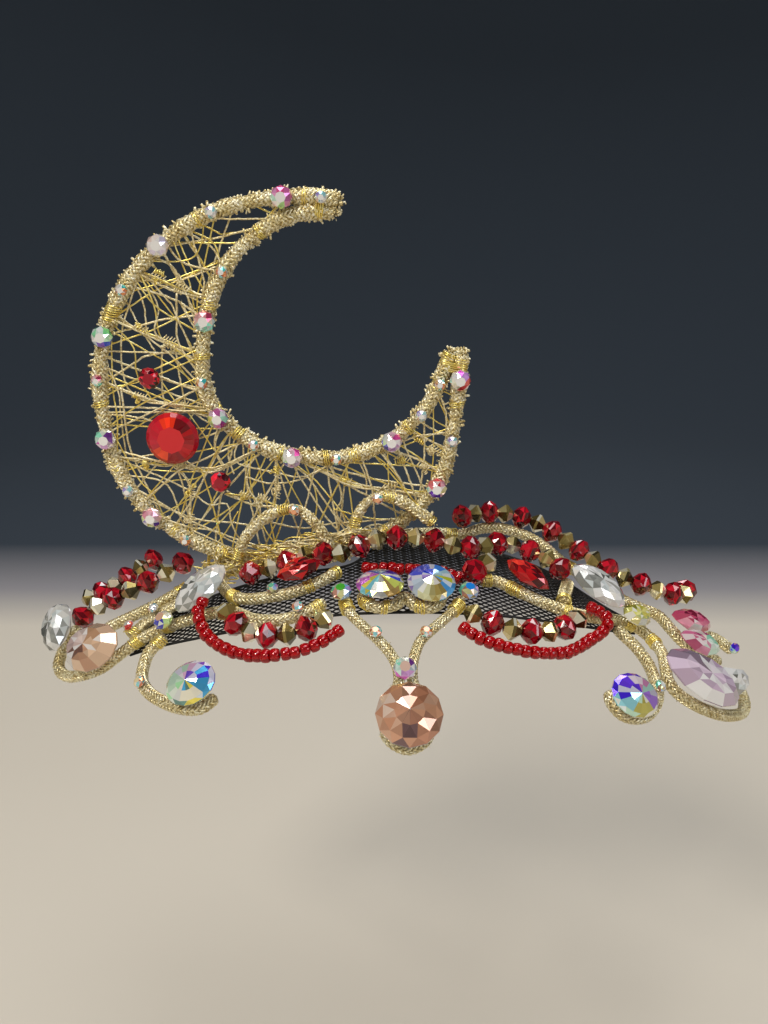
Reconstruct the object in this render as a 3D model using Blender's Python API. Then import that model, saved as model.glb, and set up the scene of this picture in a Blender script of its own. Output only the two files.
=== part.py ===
# Ballet headpiece: a thread-wrapped gold crescent on a crown of gold cord, cut stones and bead strings,
# sewn to a band of black net. Metres, +Z up, the front towards -Y.
# The origin is the crown of the head that it is worn on, where the net band sits.
import math
import random
from collections import namedtuple

import bmesh
import bpy
from mathutils import Vector

MM = 0.001

# The head form that the pieces follow: half sizes of an ellipsoid whose top is the origin
HEAD_HALF_WIDTH = 96 * MM
HEAD_HALF_DEPTH = 102 * MM
HEAD_HALF_HEIGHT = 96 * MM

GAP = 0.3 * MM               # clearance between neighbouring pieces
NET_WALL = 1.0 * MM
CORD_WIDTH = 2.2 * MM        # gold braided cord over wire
CORD_STEP = 3.6 * MM         # distance between the points of a cord
TIGHT_CORD_STEP = 2.4 * MM   # the same where it bends more

RED_BEAD = 4.0 * MM          # bicone bead widths
GOLD_BEAD = 3.0 * MM
BEAD_HOLE = 1.3 * MM         # width where two bicones touch
BEAD_SIDES = 10
SEED_BEAD = 2.0 * MM
SEED_CORD_STEP = 2.6 * MM    # distance between the points of a seed bead string
CRYSTAL_SINK = 0.35 * MM     # how deep a flat-backed crystal sits in the cord that it is glued to
SMALL_CRYSTAL = 2.2 * MM
BRACE_CRYSTAL_RISE = 1.5 * MM

MOON_Y = -5.0 * MM           # plane of the crescent
RIM_WIDTH = 2.7 * MM
OUTER_MIDDLE = (-20.0, 32.5)     # x and z of the middle of each arc, in mm
INNER_MIDDLE = (-12.0, 41.8)
WEB_THICK = 0.8 * MM
WEB_BAR = 0.36 * MM          # how far each gap of the web is set in from its bars
WEB_COLUMNS, WEB_ROWS = 26, 3
WEB_START, WEB_END = 109, 350    # its ends, as bearings in degrees from the outer arc's middle


def clear_scene():
    for thing in list(bpy.data.objects):
        bpy.data.objects.remove(thing, do_unlink=True)


def finish(name, colour, metallic, roughness, transmission=0.0):
    """A Principled material; colour is linear red, green and blue."""
    material = bpy.data.materials.new(name)
    material.use_nodes = True
    shader = material.node_tree.nodes["Principled BSDF"]
    shader.inputs["Base Color"].default_value = (*colour, 1.0)
    shader.inputs["Metallic"].default_value = metallic
    shader.inputs["Roughness"].default_value = roughness
    shader.inputs["Transmission Weight"].default_value = transmission
    return material


def make_finishes():
    return {
        "gold": finish("gold_cord", (0.62, 0.50, 0.26), 0.7, 0.4),
        "net": finish("black_net", (0.01, 0.01, 0.01), 0.0, 0.8),
        "garnet": finish("garnet_glass", (0.28, 0.005, 0.01), 0.0, 0.08, 0.5),
        "seed": finish("red_seed_glass", (0.35, 0.01, 0.012), 0.0, 0.15, 0.4),
        "aurora": finish("aurora_glass", (0.62, 0.66, 0.72), 0.1, 0.05, 0.5),
        "peach": finish("peach_glass", (0.50, 0.26, 0.16), 0.0, 0.06, 0.5),
        "clear": finish("clear_glass", (0.70, 0.72, 0.70), 0.0, 0.04, 0.7),
        "lilac": finish("lilac_glass", (0.45, 0.34, 0.46), 0.0, 0.05, 0.6),
        "rose": finish("rose_glass", (0.42, 0.06, 0.10), 0.0, 0.06, 0.6),
        "yellow": finish("yellow_glass", (0.60, 0.56, 0.24), 0.0, 0.06, 0.6),
        "scarlet": finish("scarlet_acrylic", (0.60, 0.02, 0.015), 0.0, 0.08, 0.3),
    }


def seat(across, fore, lift):
    """A point over the head: across and fore are millimetres along its surface from the crown."""
    turn_x = across * MM / HEAD_HALF_WIDTH
    turn_y = fore * MM / HEAD_HALF_DEPTH
    point = Vector((
        HEAD_HALF_WIDTH * math.sin(turn_x),
        -HEAD_HALF_DEPTH * math.cos(turn_x) * math.sin(turn_y),
        HEAD_HALF_HEIGHT * (math.cos(turn_x) * math.cos(turn_y) - 1.0),
    ))
    return point + head_normal(across, fore) * lift * MM


def head_normal(across, fore):
    turn_x = across * MM / HEAD_HALF_WIDTH
    turn_y = fore * MM / HEAD_HALF_DEPTH
    return Vector((
        math.sin(turn_x) / HEAD_HALF_WIDTH,
        -math.cos(turn_x) * math.sin(turn_y) / HEAD_HALF_DEPTH,
        math.cos(turn_x) * math.cos(turn_y) / HEAD_HALF_HEIGHT,
    )).normalized()


def seat_axes(across, fore, turn, tilt):
    """Axes of a stone: its length, its width and the way it faces. Tilt tips it forward."""
    facing = head_normal(across, fore)
    sideways = (seat(across + 1, fore, 0) - seat(across, fore, 0)).normalized()
    back = facing.cross(sideways)
    tip = math.radians(tilt)
    tipped_back = back * math.cos(tip) + facing * math.sin(tip)
    facing = facing * math.cos(tip) - back * math.sin(tip)
    spin = math.radians(turn)
    length = sideways * math.cos(spin) + tipped_back * math.sin(spin)
    return length, facing.cross(length), facing


def smooth_path(points, step):
    """Points at even steps along a Catmull-Rom curve through the given points."""
    padded = [2 * points[0] - points[1], *points, 2 * points[-1] - points[-2]]
    fine = []
    for before, start, end, after in zip(padded, padded[1:], padded[2:], padded[3:]):
        for k in range(12):
            t = k / 12
            fine.append(0.5 * (2 * start + (end - before) * t
                               + (2 * before - 5 * start + 4 * end - after) * t * t
                               + (3 * start - before - 3 * end + after) * t ** 3))
    fine.append(points[-1].copy())
    return even_points(fine, max(2, round(path_length(fine) / step)))


def path_length(points):
    return sum((b - a).length for a, b in zip(points, points[1:]))


def even_points(points, count):
    """The path cut into count equal lengths."""
    return [point_along(points, path_length(points) * k / count) for k in range(count + 1)]


def point_along(points, distance):
    for a, b in zip(points, points[1:]):
        run = (b - a).length
        if distance <= run:
            return a.lerp(b, distance / run)
        distance -= run
    return points[-1].copy()


def head_route(rows):
    return [seat(across, fore, lift) for across, fore, lift in rows]


def cord(name, points, width, material, step=CORD_STEP):
    curve = bpy.data.curves.new(name, "CURVE")
    curve.dimensions = "3D"
    curve.bevel_depth = width / 2
    curve.bevel_resolution = 2
    curve.use_fill_caps = True
    spline = curve.splines.new("POLY")
    path = smooth_path(points, step)
    spline.points.add(len(path) - 1)
    for slot, point in zip(spline.points, path):
        slot.co = (*point, 1.0)
    curve.materials.append(material)
    thing = bpy.data.objects.new(name, curve)
    bpy.context.scene.collection.objects.link(thing)
    return thing


def mesh_piece(name, shape, material):
    mesh = bpy.data.meshes.new(name)
    bmesh.ops.recalc_face_normals(shape, faces=shape.faces)
    shape.to_mesh(mesh)
    shape.free()
    mesh.materials.append(material)
    thing = bpy.data.objects.new(name, mesh)
    bpy.context.scene.collection.objects.link(thing)
    return thing


def swept_tube(shape, path, radii, sides):
    """Rings of the given radii carried along a path, closed at both ends."""
    along = (path[1] - path[0]).normalized()
    across = along.orthogonal().normalized()
    rings = []
    for k, (point, radius) in enumerate(zip(path, radii)):
        ahead = (path[min(k + 1, len(path) - 1)] - path[max(k - 1, 0)]).normalized()
        across = (along.rotation_difference(ahead) @ across).normalized()
        along = ahead
        up = along.cross(across)
        turns = [2 * math.pi * j / sides for j in range(sides)]
        spokes = [across * math.cos(t) + up * math.sin(t) for t in turns]
        rings.append([shape.verts.new(point + spoke * radius) for spoke in spokes])
    for low, high in zip(rings, rings[1:]):
        bridge(shape, low, high)
    shape.faces.new(rings[0])
    shape.faces.new(rings[-1])


def bridge(shape, low, high):
    for j in range(len(low)):
        k = (j + 1) % len(low)
        shape.faces.new((low[j], low[k], high[k], high[j]))


def bead_string(name, rows, count, materials, first="red"):
    """Red and gold bicones in turn, fused end to end where their holes meet."""
    path = smooth_path(head_route(rows), 1.0 * MM)
    widths = [RED_BEAD if (k % 2 == 0) == (first == "red") else GOLD_BEAD for k in range(count)]
    spread = path_length(path) / sum(widths)
    stations = [0.0]
    radii = [BEAD_HOLE / 2]
    for width in widths:
        start = stations[-1]
        stations += [start + width * spread / 2, start + width * spread]
        radii += [width / 2, BEAD_HOLE / 2]
    shape = bmesh.new()
    swept_tube(shape, [point_along(path, distance) for distance in stations], radii, BEAD_SIDES)
    return mesh_piece(name, shape, materials["garnet"])


def stone_rings(length, width, sides, point, table, height, small=False):
    """Outlines of a cut stone from its back to its table, as (x, y, z) rows for each ring."""
    levels = ((0.72, 0.0), (1.0, 0.40), (1.0, 0.52), (table, 1.0))
    if small:
        levels = ((0.9, 0.0), (1.0, 0.35), (table, 1.0))
    rings = []
    for scale, rise in levels:
        ring = []
        for j in range(sides):
            t = 2 * math.pi * (j + 0.5) / sides
            bulge = math.copysign(abs(math.sin(t)) ** point, math.sin(t))
            ring.append((length / 2 * scale * math.cos(t), width / 2 * scale * bulge, height * rise))
        rings.append(ring)
    return rings


def add_stone(shape, place, axes, rings):
    length_axis, width_axis, facing = axes
    loops = [[shape.verts.new(place + length_axis * x + width_axis * y + facing * z) for x, y, z in ring]
             for ring in rings]
    for low, high in zip(loops, loops[1:]):
        bridge(shape, low, high)
    shape.faces.new(loops[0])
    shape.faces.new(loops[-1])


# Places are across, fore and lift over the head in mm, sizes in mm, turn and tilt in degrees
Stone = namedtuple("Stone", "name at size finish turn tilt height table sides point",
                   defaults=(0, 0, 3.6, 0.55, 12, 1.0))


def cut_stone(stone, materials):
    """A faceted stone whose flat back is at its place over the head."""
    shape = bmesh.new()
    rings = stone_rings(stone.size[0] * MM, stone.size[1] * MM, stone.sides, stone.point, stone.table,
                        stone.height * MM)
    add_stone(shape, seat(*stone.at), seat_axes(stone.at[0], stone.at[1], stone.turn, stone.tilt), rings)
    return mesh_piece(stone.name, shape, materials[stone.finish])


def small_crystal(name, at, material, tilt=15):
    shape = bmesh.new()
    rings = stone_rings(SMALL_CRYSTAL, SMALL_CRYSTAL, 8, 1.0, 0.5, SMALL_CRYSTAL / 2, small=True)
    add_stone(shape, seat(*at), seat_axes(at[0], at[1], 0, tilt), rings)
    return mesh_piece(name, shape, material)


# across, front edge, back edge of the net band, in mm along the head
NET_EDGES = (
    (-50, 20, 11), (-34, 23.5, 9), (-20, 24.5, 8), (-8, 24, 7.5), (-2, 24, -1), (8, 23.5, -5),
    (18, 22.5, -5), (31, 20.5, -2), (42, 17, 6), (49, 13, 8),
)


def net_band(materials):
    """A shell of one wall's thickness between its two edges, lying on the head."""
    front = smooth_path([Vector((across, edge, 0)) for across, edge, _ in NET_EDGES], 4)
    back = smooth_path([Vector((across, edge, 0)) for across, _, edge in NET_EDGES], 1)
    columns = len(front) - 1
    rows = 5
    back = even_points(back, columns)
    shape = bmesh.new()
    layers = []
    for lift in (0.0, NET_WALL / MM):
        spots = [[front[i].lerp(back[i], j / rows) for j in range(rows + 1)] for i in range(columns + 1)]
        layers.append([[shape.verts.new(seat(spot.x, spot.y, lift)) for spot in row] for row in spots])
    for layer in layers:
        for i in range(columns):
            for j in range(rows):
                shape.faces.new((layer[i][j], layer[i + 1][j], layer[i + 1][j + 1], layer[i][j + 1]))
    under, over = [border(layer) for layer in layers]
    bridge(shape, under, over)
    mesh_piece("net_band", shape, materials["net"])


def border(layer):
    """The grid's edge as one closed loop."""
    return ([row[0] for row in layer] + layer[-1][1:]
            + [row[-1] for row in reversed(layer[:-1])] + list(reversed(layer[0][1:-1])))


# Each rim of the crescent: bearing from its middle in degrees, and radius in mm
OUTER_RIM = (
    (71, 35.3), (85, 34.0), (98, 33.3), (130, 32.5), (165, 32.4), (190, 32.7), (212, 33.9), (238, 33.4),
    (268, 32.6), (300, 32.6), (328, 33.6), (350, 32.3), (366, 32.8), (373, 33.9),
)
INNER_RIM = (
    (83, 22.2), (98, 22.2), (118, 21.6), (150, 20.9), (178, 21.1), (208, 23.3), (235, 22.5), (262, 21.3),
    (290, 21.4), (320, 21.9), (346, 22.3), (356, 23.0),
)


def rim_radius(rim, bearing):
    """The radius at a bearing, read off a smooth curve through the rim's rows."""
    rows = [(rim[0][0] * 2 - rim[1][0], rim[0][1]), *rim, (rim[-1][0] * 2 - rim[-2][0], rim[-1][1])]
    for before, start, end, after in zip(rows, rows[1:], rows[2:], rows[3:]):
        if bearing <= end[0] or end is rim[-1]:
            t = (bearing - start[0]) / (end[0] - start[0])
            a, b, c, d = before[1], start[1], end[1], after[1]
            return 0.5 * (2 * b + (c - a) * t + (2 * a - 5 * b + 4 * c - d) * t * t
                          + (3 * b - a - 3 * c + d) * t ** 3)


def rim_point(rim, middle, bearing, inset=0.0):
    radius = rim_radius(rim, bearing) + inset
    turn = math.radians(bearing)
    return Vector(((middle[0] + radius * math.cos(turn)) * MM, MOON_Y,
                   (middle[1] + radius * math.sin(turn)) * MM))


def rim_path(rim, middle):
    bearings = range(rim[0][0], rim[-1][0] + 1, 3)
    return smooth_path([rim_point(rim, middle, bearing) for bearing in bearings], 3.4 * MM)


def rim_tube(name, rim, middle, material):
    path = rim_path(rim, middle)
    shape = bmesh.new()
    swept_tube(shape, path, [RIM_WIDTH / 2] * len(path), 8)
    return mesh_piece(name, shape, material)


# Crystals on the crescent's face: bearing on the rim, width in mm
OUTER_CRYSTALS = (
    (76, 2.2), (87, 3.9), (108, 2.2), (127, 3.9), (145, 2.2), (161, 3.9), (175, 2.2), (194, 3.9),
    (212, 2.2), (223, 3.9), (236, 2.2), (329, 3.9), (345, 2.2), (365, 3.9),
)
INNER_CRYSTALS = (
    (144, 2.2), (169, 3.9), (198, 2.2), (215, 3.9), (235, 2.2), (254, 3.9), (276, 2.2), (305, 3.9),
    (324, 2.2), (341, 2.2),
)
FRONT_AXES = (Vector((1, 0, 0)), Vector((0, 0, 1)), Vector((0, -1, 0)))


def crystals_on(shape, rim, middle, rows):
    """Flat-backed crystals sunk a little into the front of a rim."""
    for bearing, width in rows:
        place = rim_point(rim, middle, bearing) + Vector((0, -RIM_WIDTH / 2 + CRYSTAL_SINK, 0))
        rings = stone_rings(width * MM, width * MM, 8, 1.0, 0.5, (0.7 + 0.35 * width) * MM, small=True)
        add_stone(shape, place, FRONT_AXES, rings)


def fuse(body, tool):
    tool.hide_render = True
    tool.display_type = "WIRE"
    union = body.modifiers.new("join " + tool.name, "BOOLEAN")
    union.operation = "UNION"
    union.solver = "EXACT"
    union.object = tool


def moon_frame(materials):
    """The crescent's two rims, joined at the horns, with the crystals set on them."""
    frame = rim_tube("moon_frame", OUTER_RIM, OUTER_MIDDLE, materials["gold"])
    inner = rim_tube("inner_rim_guide", INNER_RIM, INNER_MIDDLE, materials["gold"])
    shape = bmesh.new()
    crystals_on(shape, OUTER_RIM, OUTER_MIDDLE, OUTER_CRYSTALS)
    crystals_on(shape, INNER_RIM, INNER_MIDDLE, INNER_CRYSTALS)
    crystals = mesh_piece("moon_crystal_guide", shape, materials["aurora"])
    fuse(frame, inner)
    fuse(frame, crystals)


def web_point(bearing, share):
    """A point between the rims on a ray from the outer rim's middle; share runs from inside to outside."""
    turn = math.radians(bearing)
    room = RIM_WIDTH / 2 / MM + GAP / MM
    away_x = INNER_MIDDLE[0] - OUTER_MIDDLE[0]
    away_z = INNER_MIDDLE[1] - OUTER_MIDDLE[1]
    toward = away_x * math.cos(turn) + away_z * math.sin(turn)
    aside = away_z * math.cos(turn) - away_x * math.sin(turn)
    inner = INNER_RIM[1][1]
    for _ in range(4):
        near = toward + math.sqrt(inner ** 2 - aside ** 2)
        x = near * math.cos(turn) - away_x
        z = near * math.sin(turn) - away_z
        inner = rim_radius(INNER_RIM, math.degrees(math.atan2(z, x)) % 360)
    low = near + room * inner / (near - toward)
    high = rim_radius(OUTER_RIM, bearing) - room
    reach = low + (high - low) * share
    return Vector(((OUTER_MIDDLE[0] + reach * math.cos(turn)) * MM, MOON_Y + WEB_THICK / 2,
                   (OUTER_MIDDLE[1] + reach * math.sin(turn)) * MM))


def moon_web(materials):
    """The thread web as one pierced sheet: slanting cells, each with a gap cut through it."""
    rng = random.Random(7)
    shape = bmesh.new()
    grid = []
    for i in range(WEB_COLUMNS + 1):
        column = []
        for j in range(WEB_ROWS + 1):
            inside_edge = 0 < j < WEB_ROWS and 0 < i < WEB_COLUMNS
            slant = 0.45 * math.sin(math.pi * j / WEB_ROWS) if 0 < i < WEB_COLUMNS else 0.0
            slip = rng.uniform(-0.28, 0.28) if inside_edge else 0.0
            bearing = WEB_START + (i + slant + slip) * (WEB_END - WEB_START) / WEB_COLUMNS
            share = j / WEB_ROWS + (rng.uniform(-0.07, 0.07) if inside_edge else 0.0)
            column.append(shape.verts.new(web_point(bearing, share)))
        grid.append(column)
    cells = []
    for left, right in zip(grid, grid[1:]):
        for j in range(WEB_ROWS):
            cells.append(shape.faces.new((left[j], right[j], right[j + 1], left[j + 1])))
    shape.normal_update()
    bmesh.ops.inset_individual(shape, faces=cells, thickness=WEB_BAR)
    bmesh.ops.delete(shape, geom=cells, context="FACES")
    sheet = shape.faces[:]
    grown = bmesh.ops.extrude_face_region(shape, geom=sheet)
    moved = [item for item in grown["geom"] if isinstance(item, bmesh.types.BMVert)]
    bmesh.ops.translate(shape, verts=moved, vec=(0, -WEB_THICK, 0))
    mesh_piece("moon_web", shape, materials["gold"])


# x and z of the two braces that clasp the crescent's foot, in mm
LEFT_BRACE = (
    (-28.9, 1.4), (-27.4, 5.2), (-24.6, 8.6), (-21.2, 10.8), (-17.4, 11.6), (-14.4, 9.2), (-12.2, 6.0),
    (-10.7, 1.8),
)
RIGHT_BRACE = (
    (-6.6, 8.0), (-5.9, 10.2), (-4.4, 12.6), (-1.6, 14.0), (1.8, 13.2), (5.2, 11.0), (8.2, 8.8),
)
BRACE_Y = MOON_Y - RIM_WIDTH / 2 - GAP - CORD_WIDTH / 2


def brace(name, rows, materials, crystal_at):
    """A cord arch in front of the crescent's foot with a small crystal sunk in its top."""
    path = smooth_path([Vector((x * MM, BRACE_Y, z * MM)) for x, z in rows], CORD_STEP)
    shape = bmesh.new()
    swept_tube(shape, path, [CORD_WIDTH / 2] * len(path), 8)
    arch = mesh_piece(name, shape, materials["gold"])
    shape = bmesh.new()
    rings = stone_rings(SMALL_CRYSTAL, SMALL_CRYSTAL, 8, 1.0, 0.5, BRACE_CRYSTAL_RISE, small=True)
    place = Vector((crystal_at[0] * MM, BRACE_Y - CORD_WIDTH / 2 + CRYSTAL_SINK, crystal_at[1] * MM))
    add_stone(shape, place, FRONT_AXES, rings)
    fuse(arch, mesh_piece(name + "_crystal_guide", shape, materials["aurora"]))


def moon_stone(name, middle, width, material, sides):
    """A flat-backed red stone sewn on the front of the web; middle is x and z in mm."""
    shape = bmesh.new()
    place = Vector((middle[0] * MM, MOON_Y - WEB_THICK / 2 - GAP, middle[1] * MM))
    rings = stone_rings(width * MM, width * MM, sides, 1.0, 0.55, (0.8 + 0.22 * width) * MM)
    add_stone(shape, place, FRONT_AXES, rings)
    mesh_piece(name, shape, material)


# Routes of the cords: across, fore and lift in mm
REAR_WIRE = (
    (-58.5, 13.8, 4.6), (-54, 12.8, 4.8), (-48, 11.8, 4.2), (-43, 10.4, 3.8), (-38, 7.0, 3.4),
    (-33, 3.9, 2.6), (-27, 2.2, 2.0), (-18, 2.2, 1.9), (-9, 2.0, 1.9), (0, -0.6, 2.8), (8, -2.2, 3.4),
    (14, -3.2, 3.4), (18, -5, 4.8), (22, -5.8, 5.4), (26, -5.2, 5.4), (30, -3.4, 4.9), (34, -0.4, 3.7),
    (39, 3.8, 3.6), (44.5, 7.2, 3.6), (48.4, 9.2, 4.3), (51.8, 10.0, 4.9), (53.2, 14.0, 5.1),
    (55.2, 16.0, 4.8), (57.4, 16.8, 4.8), (60.8, 16.8, 5.0), (64.8, 15.6, 5.2),
)
FRONT_WIRE_LEFT = (
    (-58.5, 12.2, 8.0), (-62.5, 13.2, 6.6), (-64.8, 16.6, 5.0), (-63.2, 20, 3.4), (-59, 22.4, 2.6),
    (-54.5, 23.0, 2.2), (-50.5, 21.8, 2.4), (-46.5, 19.8, 2.4), (-42.5, 19.0, 2.4), (-38.5, 19.3, 2.4),
    (-34.5, 19.4, 2.4), (-30.5, 19.8, 2.4), (-27, 21.5, 2.4), (-23.6, 24.5, 2.4), (-19.6, 26.0, 2.4),
    (-16, 25.8, 2.4), (-12.9, 24.2, 2.4), (-11.0, 22.6, 2.4),
)
FRONT_WIRE_RIGHT = (
    (16.2, 14.6, 2.4), (19.2, 14.0, 2.4), (22, 15.4, 2.4), (25, 17.0, 2.4), (28, 18.2, 2.4),
    (31, 18.8, 2.4), (35, 18.6, 2.4), (39, 17.4, 2.4), (43, 15.4, 2.4), (47, 14.8, 2.4),
    (50.1, 16.8, 2.4), (51.4, 20.8, 2.4), (51.0, 25.2, 2.2), (50.7, 29, 2.0), (52.2, 31.9, 2.0),
    (56.2, 33.2, 2.2), (61.6, 32.3, 2.4), (66.4, 29.5, 2.6), (69.6, 26.4, 3.2), (70, 23, 4.2),
    (68, 20, 5.0),
)
UPPER_SCROLL_LEFT = (
    (-32.2, 8.4, 2.6), (-30.6, 12, 2.4), (-28.4, 15.6, 2.4), (-25.4, 17.8, 2.4), (-21.5, 18.6, 2.4),
    (-17.5, 18.5, 2.4), (-14.2, 17.2, 2.4), (-11.4, 15.2, 2.4), (-9.4, 13.2, 2.4),
)
V_CORD = (
    (-7.8, 21.2, 2.4), (-7.4, 23.8, 2.3), (-6.2, 26.5, 1.9), (-2.6, 31, 1.4), (0.2, 34.8, 1.4),
    (1.0, 38, 1.4), (0.6, 41.2, 1.4), (-0.7, 44.6, 1.4), (-1.2, 48, 1.4), (-0.1, 50.9, 1.4),
    (2.6, 52.6, 1.4), (5.3, 50.9, 1.4), (6.3, 48, 1.4), (5.8, 44.6, 1.4), (4.4, 41.2, 1.4),
    (3.6, 38, 1.4), (3.9, 34.8, 1.4), (5.4, 31.4, 1.4), (9.2, 26.8, 1.9), (11.4, 24, 2.4),
    (12.4, 21.2, 2.4),
)
CENTRE_SCALLOP = (
    (-4.7, 21, 2.4), (-4.2, 23.3, 2.4), (-1.8, 24.9, 2.4), (1, 24, 2.4), (2.6, 22, 2.4), (4.4, 24.3, 2.4),
    (6.8, 24.6, 2.4), (8.5, 23.0, 2.4), (9.0, 21, 2.4),
)
CURL_LEFT = (
    (-40.5, 22.2, 2.4), (-43.6, 24.6, 1.9), (-44.4, 28, 1.4), (-43.8, 31.8, 1.4), (-42, 35.2, 1.4),
    (-38.8, 38.6, 1.4), (-34.8, 41.4, 1.4), (-30.8, 42.6, 1.4), (-28, 40.8, 1.4),
)
CURL_RIGHT = (
    (43.9, 18.6, 1.5), (46.3, 21.2, 1.4), (47.7, 25, 1.4), (48.0, 29, 1.4), (47.7, 33.2, 1.4),
    (46.2, 37, 1.4), (43.8, 40.2, 1.4), (41, 41.9, 1.4), (38.4, 41.8, 1.4), (36.9, 39.8, 1.4),
    (36.9, 37.4, 1.4),
)
SPARKLE_CORD_LEFT = (
    (-49.2, 17.4, 2.6), (-46.4, 14.4, 2.8), (-43, 12.8, 2.8), (-39.4, 12.4, 3.0), (-37, 10.6, 3.0),
)
STRAP_RIGHT = ((34.6, 5.8, 2.4), (33.6, 9.5, 2.4), (32.4, 13.2, 2.4), (31.8, 16, 2.4))
NUB_RIGHT = ((60.5, 12.6, 7.4), (63.4, 11.8, 7.7), (65.8, 12.0, 8.2))

# Routes of the bead strings
TOP_BEADS = (
    (-27.4, 10.2, 3.7), (-21.8, 10.6, 3.7), (-17, 9.8, 4.2), (-13.2, 9.4, 5), (-10, 11.4, 5),
    (-7, 10.6, 5.2), (-3.5, 8.8, 6.2), (0, 8.4, 6.6), (4, 7.6, 6.2), (8, 6.8, 5.8), (12, 8, 5.2),
    (15.4, 7.2, 5), (18.6, 4.2, 5), (21.6, 1.6, 5), (25, 1.6, 4.8), (28.6, 2.4, 4.6), (31, 4.4, 4.6),
    (33, 8, 4.4),
)
REAR_BEADS = (
    (12.2, -1.2, 7.2), (15.4, -4, 7.8), (19, -6, 8.2), (23, -6.6, 8.5), (27, -6.4, 8.4), (31, -4.4, 8.0),
    (35, -0.6, 7.4), (39, 3.4, 7.2), (43, 5.2, 7.2), (47.4, 6, 7.7),
    (51.6, 6.2, 8.5), (55, 5.2, 9.6), (57, 2.2, 9.9), (57.6, -1.4, 9.9),
)
LEFT_FRONT_BEADS = (
    (-36.8, 2.8, 7.2), (-40.6, 5.6, 7.3), (-44.4, 7.2, 7.5), (-48.4, 8.1, 7.8), (-52.4, 8.2, 8.2),
    (-56.8, 8, 8.4), (-60, 9.8, 8),
)
LEFT_REAR_BEADS = (
    (-43.4, -1.6, 8.8), (-46, 0.8, 9.2), (-48.6, 3.0, 9.2), (-51.6, 3.8, 9.0), (-55, 3.8, 9.2),
    (-58.6, 3.4, 9.8),
)
SWAG_BEADS_LEFT = (
    (-28.4, 22.0, 4.8), (-27.4, 24.2, 4.1), (-25.4, 27, 3.0), (-21.4, 29.5, 2.5), (-16.6, 30.2, 2.4),
    (-13, 29.2, 2.5), (-9.8, 26.6, 3.0),
)
SWAG_BEADS_RIGHT = (
    (12.6, 25.2, 3.0), (15.6, 26.8, 2.6), (19.2, 28, 2.4), (23.4, 28.0, 2.4), (27.4, 26.8, 2.5),
    (31, 24.6, 2.8), (33.6, 21.4, 4.2),
)
SEED_CENTRE = (
    (-5, 12, 2.5), (-2, 12.6, 2.4), (2, 12.8, 2.4), (6.6, 12.9, 2.4), (9.6, 13, 2.4), (12, 14.2, 2.3),
    (13, 15.0, 2.2),
)
SEED_LEFT = (
    (-31.6, 20.4, 6.4), (-32.6, 23.2, 5.0), (-31.8, 26, 3.4), (-29.8, 28.6, 2.0), (-26.6, 31, 1.3),
    (-22.8, 32.8, 1.2), (-18.4, 33.5, 1.2), (-14.4, 33.1, 1.2), (-10.8, 31.2, 1.2), (-8.0, 28.7, 1.3),
)
SEED_RIGHT = (
    (12.0, 27.6, 1.3), (14.6, 29.8, 1.2), (18.6, 31.4, 1.2), (23, 31.6, 1.2), (27.6, 31, 1.2),
    (31.6, 29, 1.3), (35, 26, 2.0), (37.6, 23.4, 3.4), (38.4, 21.2, 4.6), (37, 19.8, 4.9),
    (34.6, 19.2, 4.9),
)
RED_BEAD_PAIR = ((13.2, 18.2, 5.0), (15.7, 14.4, 4.9), (18.4, 10.6, 5.0))


def cords(materials):
    gold = materials["gold"]
    routes = {
        "rear_wire": REAR_WIRE,
        "front_wire_left": FRONT_WIRE_LEFT,
        "front_wire_right": FRONT_WIRE_RIGHT,
        "upper_scroll_left": UPPER_SCROLL_LEFT,
        "sparkle_cord_left": SPARKLE_CORD_LEFT,
        "strap_right": STRAP_RIGHT,
        "nub_cord_right": NUB_RIGHT,
    }
    for name, rows in routes.items():
        cord(name, head_route(rows), CORD_WIDTH, gold)
    tight_routes = {
        "v_cord": V_CORD,
        "centre_scallop": CENTRE_SCALLOP,
        "curl_left": CURL_LEFT,
        "curl_right": CURL_RIGHT,
    }
    for name, rows in tight_routes.items():
        cord(name, head_route(rows), CORD_WIDTH, gold, step=TIGHT_CORD_STEP)


def bead_strings(materials):
    bead_string("top_beads", TOP_BEADS, 19, materials)
    bead_string("rear_beads", REAR_BEADS, 17, materials)
    bead_string("left_front_beads", LEFT_FRONT_BEADS, 7, materials)
    bead_string("left_rear_beads", LEFT_REAR_BEADS, 6, materials)
    bead_string("swag_beads_left", SWAG_BEADS_LEFT, 7, materials, first="gold")
    bead_string("swag_beads_right", SWAG_BEADS_RIGHT, 7, materials, first="gold")
    bead_string("red_bead_pair", RED_BEAD_PAIR, 2, materials)
    for name, rows in (("seed_centre", SEED_CENTRE), ("seed_left", SEED_LEFT), ("seed_right", SEED_RIGHT)):
        cord(name, head_route(rows), SEED_BEAD, materials["seed"], step=SEED_CORD_STEP)


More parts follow.
